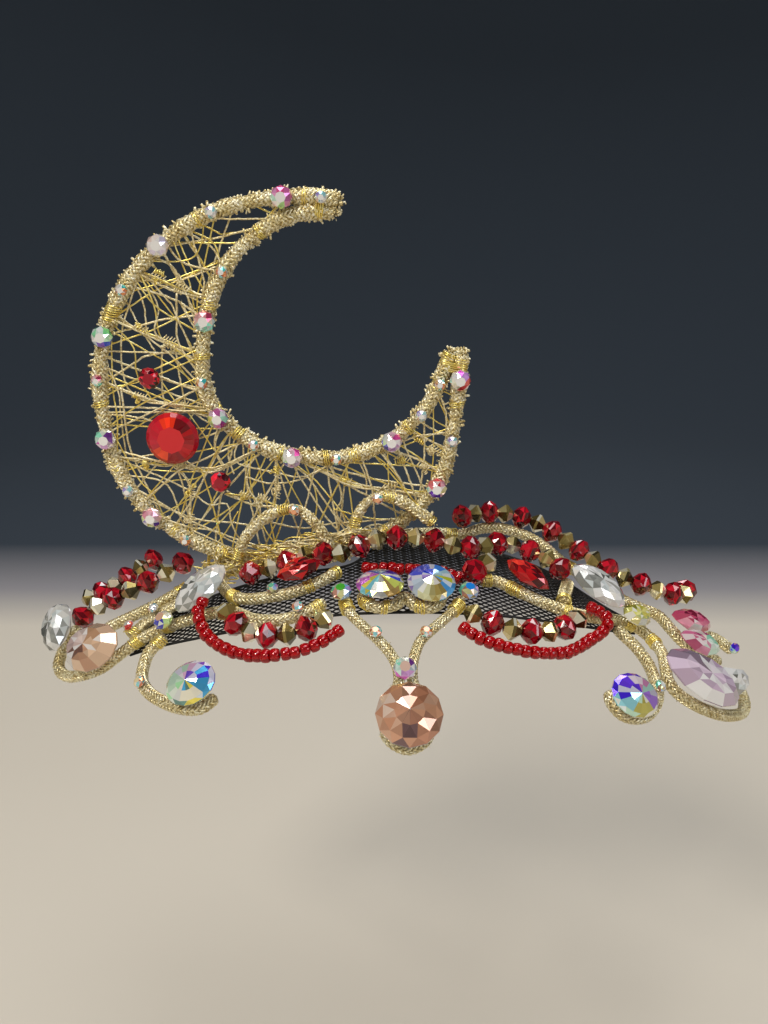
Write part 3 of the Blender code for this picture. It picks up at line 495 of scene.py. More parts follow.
def frayedCord(path, local, radius, outward, amount=1.0):
    # braid, then stubs that stand off mostly to one side of it in its own plane, then fine fuzz all round;
    # outward is the unit direction of that side at each point of the path
    s = rimSettings
    length = pathLength(path) / mm
    distance = np.linspace(0, length, len(path))
    swell = lumps(distance, s["lump"], int(length))
    shapes = braidShapes(path, (0, -1, 0), swell, middleRadius=radius, strandWidth=s["strandWidth"],
                         ragged=s["ragged"])
    count = int(length / s["stubEvery"] * amount)
    clear = s["stubClear"]
    bunch = np.repeat(local.uniform(clear, length - clear, count // 2 + 1), 2)[:count]   # stubs come in pairs
    bunch = bunch + local.normal(0, s["stubScatter"], count)
    spot = np.clip(np.round(bunch / length * (len(path) - 1)).astype(int), 0, len(path) - 1)
    side = np.where(local.uniform(0, 1, count) < s["outwardShare"], 1, -1)[:, None]
    ways = unit(outward[spot] * side + local.normal(0, s["stubSpread"], (count, 3)) * [1, 0.8, 1])
    roots = path[spot] + ways * (radius - s["stubRoot"]) * mm
    shapes.append(stubShape(roots, ways, s["stubLong"], s["stubRadius"], local))
    count = int(length / s["fuzzEvery"] * amount)
    spot = local.integers(0, len(path), count)
    ways = unit(local.normal(0, 1, (count, 3)))
    roots = path[spot] + ways * radius * mm
    shapes.append(stubShape(roots, ways, s["fuzzLong"], s["fuzzRadius"], local, 3, s["fuzzBend"]))
    return shapes


def rims(finishes):
    s = rimSettings
    sides = (("crescent_outer_rim", outerRim, outerMiddle, outerWindings, 1, 41),
             ("crescent_inner_rim", innerRim, innerMiddle, innerWindings, -1, 43))
    for name, rim, middle, windings, way, seed in sides:
        local = np.random.default_rng(seed)
        path = cordPath(rimPoints(rim, middle, np.linspace(rim[0][0], rim[-1][0], s["cuts"])))
        outward = unit((path / mm - [middle[0], moonY, middle[1]]) * way)
        shapes = frayedCord(path, local, s["middleRadius"], outward)
        tips = path[[0, -1]]   # each end bristles: short cut ends in every direction but back along the cord
        ahead = unit(tips - path[[3, -4]])
        ways = unit(local.normal(0, 1, (2, s["tipStubs"], 3)) + ahead[:, None] * s["tipAhead"])
        depth = ahead[:, None] * local.uniform(0, s["tipDepth"], (2, s["tipStubs"], 1))
        roots = (tips[:, None] + (ways * s["tipReach"] - depth) * mm).reshape(-1, 3)
        shapes.append(stubShape(roots, ways.reshape(-1, 3), s["tipLong"], s["tipRadius"], local))
        for bearing, turns in windings:
            place = nearestDistance(path, rimPoint(rim, middle, bearing))
            shapes.append(windingShape(path, (0, -1, 0), place, turns, s["windingReach"], local, kind=2))
        makePiece(name, shapes, finishes, ["moon_frame"] if way > 0 else ())


def horns(finishes):
    # at each horn the rims are bound together: wire goes round both, and cut ends fill the notch between.
    # The loop is aside (half gap sign(cos t) + across cos t) + fore sin t, moved ahead by a pitch each turn
    s = hornSettings
    local = np.random.default_rng(47)
    shapes = []
    for outerTip, innerTip, back, turns in hornBindings:
        outer = rimPoints(outerRim, outerMiddle, np.array([outerTip, outerTip + back]))
        inner = rimPoints(innerRim, innerMiddle, np.array([innerTip, innerTip + back * s["innerBack"]]))
        ahead = unit(outer[0] - outer[1] + inner[0] - inner[1])
        aside, middle = unit(outer[1] - inner[1]), (outer[1] + inner[1]) / 2
        t = np.linspace(0, 2 * np.pi * turns, s["pointsATurn"] * turns)[:, None]
        half = np.linalg.norm(outer[1] - inner[1]) / 2
        loop = aside * (np.sign(np.cos(t)) * half + np.cos(t) * s["across"] * mm)
        loop = loop + np.sin(t) * np.array([0, -s["fore"] * mm, 0])
        loop = middle + loop + ahead * (t / (2 * np.pi) - turns / 2) * s["pitch"] * mm
        loop = loop[None] + local.normal(0, s["uneven"], (1,) + loop.shape) * mm
        shapes.append(tubes(loop, s["wire"] * mm, 6, kind=2))
        count = s["stubs"]
        ways = unit(local.normal(0, 1, (count, 3)) + ahead * s["stubAhead"])
        depth = ahead * local.uniform(*s["stubDepth"], (count, 1))
        roots = (outer[0] + inner[0]) / 2 + (ways * s["stubReach"] - depth) * mm
        shapes.append(stubShape(roots, ways, s["stubLong"], s["stubRadius"], local))
    makePiece("crescent_horn_bindings", shapes, finishes)


def braces(finishes):
    s = braceSettings
    for seed, (name, rows) in enumerate(braceRoutes.items()):
        local = np.random.default_rng(51 + seed)
        path = cordPath(np.array([(x, braceY, z) for x, z in rows]) * mm)
        upward = np.broadcast_to([0.0, 0.0, 1.0], path.shape)
        shapes = frayedCord(path, local, s["middleRadius"], upward, s["amount"])
        for share in s["windings"]:
            place = pathLength(path) / mm * share
            shapes.append(windingShape(path, (0, -1, 0), place, s["turns"], s["windingReach"], local, kind=2))
        makePiece(name + "_braid", shapes, finishes, [name])


crescentFinishes = [rimBraid, cordCoreShaded, wireFinish]
rims(crescentFinishes)
horns(crescentFinishes)
braces(crescentFinishes)
print("crescent rims made")


# The web: threads that cross between the two rims, tied in bundles, ladders and knots

webSettings = {
    "pale": 0.18, "bright": 0.15, "crinkle": 0.035,   # mm: thread radii and kinks
    "stiffer": 0.35,            # bright wire kinks this share as much
    "stray": (0.9, 0.035),      # degrees and share of the way out that a bend strays, before loose
    "loose": (0.3, 0.8),        # of a single thread, and of one in a bundle
    "deep": 0.35,               # mm that a bend strays to the front or back
    "unlike": (0.85, 1.1),      # how much thinner or thicker a thread is than the rest
    "onRim": 0.04,              # share of the way out that still counts as on a rim
    "carryShare": 0.42, "carryDegrees": 24,   # the most that a thread is carried on to reach a rim
    "points": 30,
    "extra": 66, "extraFrom": 84, "extraSpan": 280, "slant": (14, 46), "extraEnd": (86, 362),   # degrees
    "extraJitter": 0.6, "extraSkew": 0.4,       # of one step round, and of half a thread's length
    "extraBend": 0.75, "extraShift": 0.3, "extraFlat": (1, 0.4, 1),   # mm, and what is left of it each way
}
ladderSettings = {   # mm
    "rungs": 5, "gap": 0.52, "half": (0.55, 0.85), "aside": 0.35, "bulge": 0.25, "radius": 0.13,
    "slant": 0.45,   # how far a rung leans along its bundle
}
knotSettings = {
    "size": (0.3, 0.62), "long": (0.6, 1.8), "radius": 0.14, "stray": 0.5,   # mm
    "turns": (2.5, 5.5), "waver": 0.25, "waves": 17, "flat": 0.8, "points": 48,
}
# pale threads, bright wires, then each bend: its bearing round the outer arc's middle, and its share of the
# way out to the outer rim
webThreads = (
    (2, 0, (127, 1), (129, 0.6), (132, 0.3), (140, 0)), (1, 0, (125, 1), (125, 0.58), (115, 0)),
    (0, 1, (121, 1), (123, 0.5), (124, 0)), (1, 1, (120, 1), (118, 0.55), (118, 0)),
    (1, 1, (119, 1), (113, 0.47), (112, 0)), (0, 1, (110, 1), (120, 0.5), (134, 1)),
    (1, 0, (132, 1), (128, 0.67), (129, 0.3), (125, 0)), (3, 1, (139, 1), (134, 0.5), (127, 0)),
    (1, 0, (143, 1), (137, 0.45), (134, 0)), (0, 1, (140, 1), (143, 0.58), (141, 0)),
    (1, 1, (138, 1), (143, 0.62), (153, 0.47), (155, 0.37)), (1, 0, (140, 1), (146, 0.72), (156, 0.6)),
    (1, 0, (146, 1), (154, 0.68), (160, 0.5)), (0, 1, (126, 0.4), (139, 0.7), (156, 1)),
    (1, 0, (134, 0.4), (144, 0.3), (153, 0.25)), (2, 0, (136, 0.35), (140, 0.14), (144, 0)),
    (3, 1, (155, 1), (155, 0.5), (153, 0)), (0, 1, (156, 1), (161, 0.72), (171, 0.65), (183, 0.55)),
    (1, 0, (166, 1), (162, 0.6), (158, 0.3)), (1, 0, (167, 1), (170, 0.66), (173, 0.4)),
    (1, 0, (158, 0.85), (176, 0.76), (182, 0.6)), (1, 0, (168, 1), (178, 0.85), (188, 0.86)),
    (1, 0, (157, 0.44), (173, 0.43), (186, 0.4)), (1, 0, (156, 0.3), (168, 0.25), (187, 0.27)),
    (0, 1, (153, 0), (169, 0.42), (175, 0.64), (178, 1)), (0, 1, (161, 0.3), (176, 0.16), (194, 0.15)),
    (0, 1, (165, 0), (181, 0.5), (186, 0.75)), (1, 0, (170, 0.5), (176, 0.18), (177, 0)),
    (0, 1, (172, 0.45), (188, 0.3), (196, 0.1)), (4, 1, (176, 1), (182, 0.6), (186, 0.4), (196, 0)),
    (1, 0, (184, 1), (186, 0.58), (190, 0.3)), (1, 1, (186, 1), (190, 0.75), (193, 0.6)),
    (1, 0, (177, 0.8), (192, 0.8), (203, 0.87)), (0, 1, (178, 0.9), (188, 0.86), (200, 0.95)),
    (0, 1, (178, 0), (187, 0.26), (192, 0.5)), (0, 1, (190, 0.3), (204, 0.25), (220, 0.25)),
    (1, 0, (192, 0.25), (203, 0.16), (212, 0)), (2, 0, (197, 0), (217, 0.22), (233, 0.36)),
    (1, 0, (210, 0), (229, 0.22), (239, 0.32)), (0, 1, (220, 0.2), (225, 0.42), (226, 0.6)),
    (4, 1, (199, 1), (209, 0.7), (215, 0.55), (229, 0.4)), (0, 1, (203, 1), (211, 0.75), (222, 0.5)),
    (1, 0, (207, 1), (218, 0.76), (231, 0.9)), (0, 1, (210, 0.9), (218, 0.88), (229, 1)),
    (3, 0, (214, 0.6), (224, 0.64), (234, 0.88)), (0, 1, (219, 1), (218, 0.76), (225, 0.5), (227, 0.3)),
    (0, 1, (220, 0.2), (229, 0.57), (233, 0.85)), (0, 1, (222, 0.45), (237, 0.62), (250, 1)),
    (1, 0, (224, 0.66), (236, 0.63), (243, 0.6), (249, 0.75)), (0, 1, (236, 0.45), (237, 0.8), (236, 1)),
    (1, 0, (234, 0.82), (248, 0.7), (257, 0.7)), (2, 0, (235, 0.86), (243, 0.84), (252, 0.84)),
    (1, 0, (236, 0.93), (248, 0.92), (256, 0.95)), (0, 1, (249, 0.6), (247, 0.8), (245, 1)),
    (2, 1, (239, 0.5), (255, 0.5), (268, 0.48)), (1, 0, (228, 0.1), (237, 0.22), (266, 0.19), (284, 0.18)),
    (1, 0, (246, 0.32), (263, 0.29), (284, 0.2)), (0, 1, (258, 0), (251, 0.38), (246, 0.6)),
    (1, 1, (241, 0), (248, 0.26), (257, 0.5), (261, 0.7)), (3, 1, (264, 0), (266, 0.28), (265, 0.5)),
    (1, 0, (258, 0.62), (277, 0.68), (290, 0.7)), (0, 1, (271, 0.5), (268, 0.7), (264, 1)),
    (3, 2, (288, 0), (306, 0.3), (318, 0.6), (325, 1)), (0, 1, (308, 0), (316, 0.35), (322, 0.75)),
    (0, 2, (327, 0), (325, 0.4), (322, 0.85)), (1, 0, (320, 0), (315, 0.3), (309, 0.5)),
    (2, 0, (331, 0), (323, 0.56), (315, 1)), (1, 0, (331, 0.4), (323, 0.8), (320, 1)),
    (2, 1, (331, 0), (333, 0.5), (334, 1)), (0, 1, (337, 0), (335, 0.5), (333, 1)),
    (1, 0, (341, 0), (333, 0.47), (329, 0.7)), (1, 2, (345, 0), (342, 0.5), (341, 1)),
    (0, 1, (288, 0), (288, 0.36), (283, 0.6)), (1, 0, (281, 0.15), (286, 0.4), (289, 0.62)),
    (1, 0, (303, 0), (297, 0.31), (292, 0.7), (290, 1)),
    (2, 0, (305, 0), (301, 0.36), (295, 0.62), (297, 0.9)),
    (0, 1, (293, 0.55), (305, 0.8), (313, 1)), (0, 1, (353, 0), (350, 0.5), (348, 1)),
    (1, 0, (350, 0), (347, 0.6), (345, 1)),
)
innerReach = 22.0   # mm, the radius that the web takes for the inner arc


def webPoint(bearing, share):
    # on a ray from the outer arc's middle: where it meets the inner arc, by its chord, and share of the way
    # from there to the outer rim
    turn = np.radians(bearing)
    awayX, awayZ = innerMiddle[0] - outerMiddle[0], innerMiddle[1] - outerMiddle[1]
    toward = awayX * np.cos(turn) + awayZ * np.sin(turn)
    aside = awayZ * np.cos(turn) - awayX * np.sin(turn)
    low = toward + np.sqrt(np.clip(innerReach ** 2 - aside ** 2, 0, None))
    rows = np.array(outerRim, float)
    reach = low + (np.interp(bearing, rows[:, 0], rows[:, 1]) - low) * share
    return np.stack([outerMiddle[0] + reach * np.cos(turn), np.full_like(reach, moonY),
                     outerMiddle[1] + reach * np.sin(turn)], -1) * mm


def carriedOn(rows):
    # a thread that stops a little short of the rim it heads for is carried straight on to it, at either end
    s = webSettings
    for end, inner, first in ((rows[0], rows[1], True), (rows[-1], rows[-2], False)):
        slope = end - inner
        goal = float(slope[1] > 0)
        if s["onRim"] < end[1] < 1 - s["onRim"] and abs(goal - end[1]) < s["carryShare"]:
            stretch = (goal - end[1]) / (slope[1] or 0.01)
            far = end[0] + np.clip(slope[0] * stretch, -s["carryDegrees"], s["carryDegrees"])
            rows = np.insert(rows, 0 if first else len(rows), [far, goal], axis=0)
    return rows


def mainThreads(local):
    # every thread of each row, pale ones first, and on each bundle of three or more two places to tie it
    s = webSettings
    threads = {"pale": [], "bright": []}
    ties, ways = [], []
    for pale, bright, *bends in webThreads:
        for copy in range(pale + bright):
            loose = s["loose"][int(pale + bright > 1)]
            stray = local.normal(0, 1, (len(bends), 2)) * s["stray"] * loose
            rows = carriedOn(np.array(bends, float) + stray)
            points = webPoint(rows[:, 0], rows[:, 1])
            points[:, 1] += local.normal(0, s["deep"], len(points)) * mm
            path = smoothRoute(points, 0.5 * mm)
            line = pointsAt(path, np.linspace(0, pathLength(path), s["points"]))
            threads["bright" if copy >= pale else "pale"].append(line)
        if pale + bright > 2:
            ties.append(path[[len(path) // 3, len(path) * 2 // 3]])
            ways.append(np.broadcast_to(unit(path[-1] - path[0]), (2, 3)))
    return threads, np.vstack(ties), np.vstack(ways)


def crossThreads(local):
    # threads between the main ones: start (1 - t) + end t at either slant, with one soft bend each
    s = webSettings
    count = s["extra"]
    jitter = local.uniform(-s["extraJitter"], s["extraJitter"], count)
    start = s["extraFrom"] + s["extraSpan"] * (np.arange(count) + jitter) / count
    slant = np.where(np.arange(count) // 2 % 2 == 0, 1, -1) * local.uniform(*s["slant"], count)
    end = np.clip(start + slant, *s["extraEnd"])
    t = np.linspace(0, 1, s["points"])[None, :, None]
    line = webPoint(start, np.ones(count))[:, None] * (1 - t) + webPoint(end, np.zeros(count))[:, None] * t
    bend = local.normal(0, s["extraBend"], (count, 1, 3))
    bend = bend * (1 - np.abs(2 * t - 1 + local.uniform(-s["extraSkew"], s["extraSkew"], (count, 1, 1))))
    shift = local.normal(0, s["extraShift"], (count, 1, 3))
    return line + (shift + bend) * np.array(s["extraFlat"]) * mm


def ladders(ties, ways, local):
    # short rungs side by side where a bundle is stitched together
    s = ladderSettings
    rung = (np.arange(s["rungs"]) - s["rungs"] // 2)[None, :, None] * s["gap"] * mm
    across = unit(np.cross(ways, (0, 1.0, 0)) + ways * s["slant"])
    middle = ties[:, None] + ways[:, None] * rung + across[:, None] * s["aside"] * mm
    half = across[:, None] * local.uniform(*s["half"], (len(ties), s["rungs"], 1)) * mm
    ends = np.stack([middle - half, middle + [0, -s["bulge"] * mm, 0], middle + half], 2).reshape(-1, 3, 3)
    return tubes(ends, s["radius"] * mm, 5)


def knots(ties, ways, local):
    # tight turns on each tie, and loose curls of wire beside them: a coil round an axis, its radius waving
    s = knotSettings
    count = len(ties) * 2
    at = np.vstack([ties, ties]) + local.normal(0, s["stray"], (count, 3)) * [1, 0.5, 1] * mm
    axis = unit(np.vstack([ways, local.normal(0, 1, ties.shape)]))
    across = unit(np.cross(axis, local.normal(0, 1, axis.shape)))
    third = np.cross(axis, across)
    u = np.linspace(0, 1, s["points"])[None]
    turns = local.uniform(*s["turns"], (count, 1))
    radius = local.uniform(*s["size"], (count, 1)) * (1 + s["waver"] * np.sin(u * s["waves"] + turns))
    angle = u * turns * 2 * np.pi
    coil = (at[:, None] + axis[:, None] * ((u - 0.5) * local.uniform(*s["long"], (count, 1)))[..., None] * mm
            + across[:, None] * (np.cos(angle) * radius)[..., None] * mm
            + third[:, None] * (np.sin(angle) * radius * s["flat"])[..., None] * mm)
    bright = np.arange(count) % 2 == 0
    return [tubes(coil[use], s["radius"] * mm, 5, axis[use][:, None], kind=kind)
            for kind, use in enumerate((~bright, bright))]


def web():
    s = webSettings
    local = np.random.default_rng(7)
    threads, ties, ways = mainThreads(local)
    crossing = crossThreads(local)
    threads["pale"] += list(crossing[::2])
    threads["bright"] += list(crossing[1::2])
    shapes = []
    for kind, key in enumerate(("pale", "bright")):
        group = np.stack(threads[key])
        kinks = local.normal(0, s["crinkle"] * (s["stiffer"] if kind else 1.0), group.shape) * mm
        radius = s[key] * local.uniform(*s["unlike"], (len(group), 1)) * mm
        shapes.append(tubes(group + kinks, radius, 6, kind=kind))
    shapes.append(ladders(ties, ways, local))
    shapes += knots(ties, ways, local)
    makePiece("crescent_web", shapes, [paleThread, wireFinish], ["moon_web"])
    print("web threads drawn")


web()


footBundle = (   # across, fore and lift
    (-34, 4.6, 3.6), (-29, 5.4, 4.2), (-24, 6.6, 4.4), (-18, 6.6, 4.6), (-12, 6.0, 5.0), (-6, 5.2, 5.2),
    (0, 4.4, 5.2))
footSettings = {
    "lashings": 60, "bearings": (242, 302),                    # where on the outer rim they start, in degrees
    "fore": (1.5, 5.5), "lift": (0.8, 2.4),                    # where they end, in mm
    "startStray": 0.8, "endStray": 2.0, "bow": 1.1, "uneven": 0.03, "pale": 0.19, "bright": 0.15,   # mm
    "points": 14, "finePoints": 28,
    "bundleRadius": 0.75, "bundleFray": 0.8,
    "wanderers": 130, "sway": (3.2, 0.8, 1.3), "speed": (2.0, 5.5), "finePale": 0.17, "fineBright": 0.14,
}


def twoThreads(lines, bright, paleRadius, brightRadius):
    return [tubes(lines[~bright], paleRadius * mm, 5), tubes(lines[bright], brightRadius * mm, 5, kind=1)]


def footLashings():
    # threads that sew the crescent's foot down: from its rim, bowed, to the cords and net below it
    s = footSettings
    local = np.random.default_rng(19)
    count = s["lashings"]
    start = rimPoints(outerRim, outerMiddle, local.uniform(*s["bearings"], count))
    start = start + local.normal(0, s["startStray"], (count, 3)) * mm
    across = start[:, 0] / mm + local.normal(0, s["endStray"], count)
    fore, lift = local.uniform(*s["fore"], count), local.uniform(*s["lift"], count)
    end = onCrown(np.column_stack([across, fore, lift]))
    t = np.linspace(0, 1, s["points"])[None, :, None]
    bow = unit(local.normal(0, 1, (count, 3)) + [0, -0.6, 0.3])[:, None] * np.sin(np.pi * t) * s["bow"] * mm
    line = start[:, None] * (1 - t) + end[:, None] * t + bow
    line = line + local.normal(0, s["uneven"], line.shape) * mm
    shapes = twoThreads(line, np.arange(count) % 3 == 0, s["pale"], s["bright"])
    # the bundle that hides the foot: a frayed cord, and threads that wander along it, each axis two sines
    path = cordPath(onCrown(footBundle))
    shapes += frayedCord(path, local, s["bundleRadius"], crownNormal(path), s["bundleFray"])
    count, t = s["wanderers"], np.linspace(0, 1, s["finePoints"])[None, :, None]
    start = pointsAt(path, local.uniform(0, pathLength(path), count))[:, None]
    phase, speed = local.uniform(0, 6.28, (2, count, 1, 3)), local.uniform(*s["speed"], (2, count, 1, 3))
    sway = np.sin(phase[0] + speed[0] * t) + 0.5 * np.sin(phase[1] + 2 * speed[1] * t)
    line = start + sway * np.array(s["sway"]) * mm
    shapes += twoThreads(line, np.arange(count) % 2 == 0, s["finePale"], s["fineBright"])
    makePiece("foot_lashings", shapes, [paleThread, wireFinish])
    print("foot lashings sewn")


footLashings()


# Cut stones

def powered(wave, power):
    # a sine or cosine with its size raised to a power and its sign kept
    return np.sign(wave) * np.abs(wave) ** power


def ringOf(length, width, scale, rise, sides, half, point=1.0):
    # an ellipse of the given half step, its sides pulled to a point where point is over 1
    t = 2 * np.pi * (np.arange(sides) + (0.5 if half else 0.0)) / sides
    bulge = powered(np.sin(t), point)
    return np.stack([length / 2 * scale * np.cos(t), width / 2 * scale * bulge, np.full(sides, rise)], 1)


cutLevels = {   # scale, share of the height, turned half a step; from the back to the face
    "brilliant": ((0.08, 0.0, 0), (0.55, 0.16, 1), (1, 0.42, 0), (1, 0.52, 0), (0.8, 0.82, 1),
                  (0.52, 1.0, 0)),
    "rivoli": ((0.05, 0.0, 0), (0.6, 0.2, 1), (1, 0.40, 0), (1, 0.48, 0), (0.85, 0.65, 1), (0.44, 0.86, 1),
               (0.02, 1.0, 1)),
    "oval": ((0.1, 0.0, 0), (0.6, 0.16, 1), (1, 0.42, 0), (1, 0.5, 0), (0.68, 0.95, 0), (0.38, 1.0, 1),
             (0.02, 1.0, 1)),
    "crossed": ((0.1, 0.0, 0), (0.6, 0.16, 1), (1, 0.42, 0), (1, 0.5, 0), (0.86, 0.78, 1), (0.64, 0.96, 0),
                (0.34, 1.0, 1), (0.02, 1.0, 1)),
    "chaton": ((0.1, 0.0, 0), (0.6, 0.12, 1), (1, 0.3, 0), (1, 0.4, 0), (0.86, 0.72, 1), (0.46, 1.0, 0)),
    "gem": ((0.1, 0.0, 0), (0.6, 0.12, 0), (1, 0.36, 0), (1, 0.5, 0), (0.86, 0.72, 0), (0.52, 1.0, 0)),
    "mosaic": ((0.05, 0.0, 0), (0.6, 0.2, 1), (1, 0.4, 0), (1, 0.48, 0), (0.8, 0.72, 1), (0.45, 0.9, 0),
               (0.02, 1.0, 1)),
}
facetSettings = {
    "tone": (0.75, 1.15),      # how much one facet's colour differs from the next
    "flash": 0.75,             # how far a facet that catches the light is drawn towards white
    "bevel": 0.75,             # how far the bevel is drawn towards its own colour
    "foil": "#B4AEC0",
}
brightShare = 0.16   # of a stone's facets


def ringFacets(low, high, lowHalf, highHalf):
    # facets between two rings, or rows of rings, whose last axis goes round: quads, or two sets of triangles
    # where one ring is turned half a step
    lowNext, highNext = np.roll(low, -1, axis=-1), np.roll(high, -1, axis=-1)
    if lowHalf == highHalf:
        return [np.stack([low, lowNext, highNext, high], -1)]
    if lowHalf:
        return [np.stack([low, highNext, high], -1), np.stack([low, lowNext, highNext], -1)]
    return [np.stack([low, lowNext, high], -1), np.stack([high, lowNext, highNext], -1)]


def facetStone(size, cut, sides, place, axes, rays, tableHue=None, point=1.0, seed=0, coated=False,
               scatter=0.45, flash=brightShare, edge=None):
    # rings joined by flat facets. Kinds: 0 the clear face, 1 the foiled back, 2 a coated face. rays are the
    # colours met going round from the length axis, the stone's own hue with painted reflections, glints and
    # shaded facets in it; scatter mixes neighbours, and flash is the share of bright facets, painted
    # highlights.
    # A small step off the middle settles which colour a facet halfway between two of them takes. tableHue
    # paints the light seen through the table.
    s = facetSettings
    length, width, height = size
    local = np.random.default_rng(seed)
    levels = cutLevels[cut]
    rings = [ringOf(length * mm, width * mm, scale, height * mm * rise, sides, half, point)
             for scale, rise, half in levels]
    if cut == "gem":   # a table with eight sides: the corners between are drawn in to the straight line
        share = sides // 8
        turn = np.arange(sides) % share * 2 * np.pi / sides - math.pi / 8
        rings[-1][:, :2] *= (math.cos(math.pi / 8) / np.cos(turn))[:, None]
    flat = np.vstack(rings)
    ids = np.arange(len(flat)).reshape(len(rings), sides)
    palette = hexColours(rays)
    blocks, levelOf = [], []
    for k in range(len(rings) - 1):
        made = ringFacets(ids[k], ids[k + 1], levels[k][2], levels[k + 1][2])
        blocks += made
        levelOf += [k] * len(made)
    blocks += [ids[:1, ::-1], ids[-1:]]
    levelOf += [0, len(rings)]
    tints, kinds = [], []
    for block, level in zip(blocks, levelOf):
        count = len(block)
        centre = flat[block].mean(1)
        turn = np.arctan2(centre[:, 1] / width, centre[:, 0] / length) / (2 * np.pi) % 1
        pick = np.round(turn * len(palette) + local.normal(0, scatter, count) - 0.01).astype(int)
        tint = np.clip(palette[pick % len(palette)] * local.uniform(*s["tone"], (count, 1)), 0, 1)
        tint += (1 - tint) * (local.uniform(0, 1, (count, 1)) < flash) * s["flash"]
        if edge and level == 3:   # the bevel round the rim
            tint = tint * (1 - s["bevel"]) + np.array(hexColour(edge)) * s["bevel"]
        if coated and level < 2:
            tint = np.tile(hexColour(s["foil"]), (count, 1))
        if level == len(rings) and tableHue:
            tint = np.tile(hexColour(tableHue), (count, 1))
        tints.append(tint)
        kinds.append(np.full(count, 2 if coated else int(level < 2)))
    return {"verts": place + flat @ np.array(axes), "faces": blocks, "tints": tints, "kinds": kinds}


def seatAxes(across, fore, turn, tilt):
    # length, width and facing of a stone: the head's normal tipped forward by tilt, spun by turn
    origin = onCrown([(across, fore, 0)])[0]
    facing = crownNormal(origin[None])[0]
    sideways = unit(onCrown([(across + 1, fore, 0)])[0] - origin)
    back = np.cross(facing, sideways)
    tip, spin = math.radians(tilt), math.radians(turn)
    tipped = back * math.cos(tip) + facing * math.sin(tip)
    facing = facing * math.cos(tip) - back * math.sin(tip)
    long = sideways * math.cos(spin) + tipped * math.sin(spin)
    return long, np.cross(facing, long), facing


def tintedFinish(name, **sockets):
    # colour from the facetTint attribute that each cut stone carries: hue with painted reflections and shade
    material, shader = newFinish(name, **sockets)
    tint = addNode(material, "ShaderNodeAttribute", attribute_name="facetTint")
    material.node_tree.links.new(tint.outputs["Color"], shader.inputs["Base Color"])
    return material


# Lead crystal, cut and polished: clear, bright at the edges, and its back is coated with foil in a vacuum, so
# light comes back out.
clearCrystal = tintedFinish("cut_lead_crystal", Metallic=0.2, Roughness=0.06, IOR=1.56,
                            Transmission_Weight=0.25, Coat_Weight=1.0, Coat_Roughness=0.01)
foilBack = tintedFinish("silver_foil_back", Metallic=0.4, Roughness=0.25)
# Aurora coat: a thin metal film on the glass that gives each facet a rainbow colour of its own, under a
# glassy gloss; the whites and darks among the facet colours are painted glints and painted shade.
auroraCoat = tintedFinish("aurora_coated_crystal", Metallic=0.5, Roughness=0.1, IOR=1.56, Coat_Weight=1.0,
                          Coat_Roughness=0.02)
# Cast acrylic gem, dyed through: softer gloss, and colour that stays strong in shade; its facet colours
# hold painted highlights and painted shade.
acrylicGem = tintedFinish("dyed_acrylic_gem", Roughness=0.12, IOR=1.49, Coat_Weight=0.25, Coat_Roughness=0.02)
stoneFinishes = [clearCrystal, foilBack, auroraCoat]
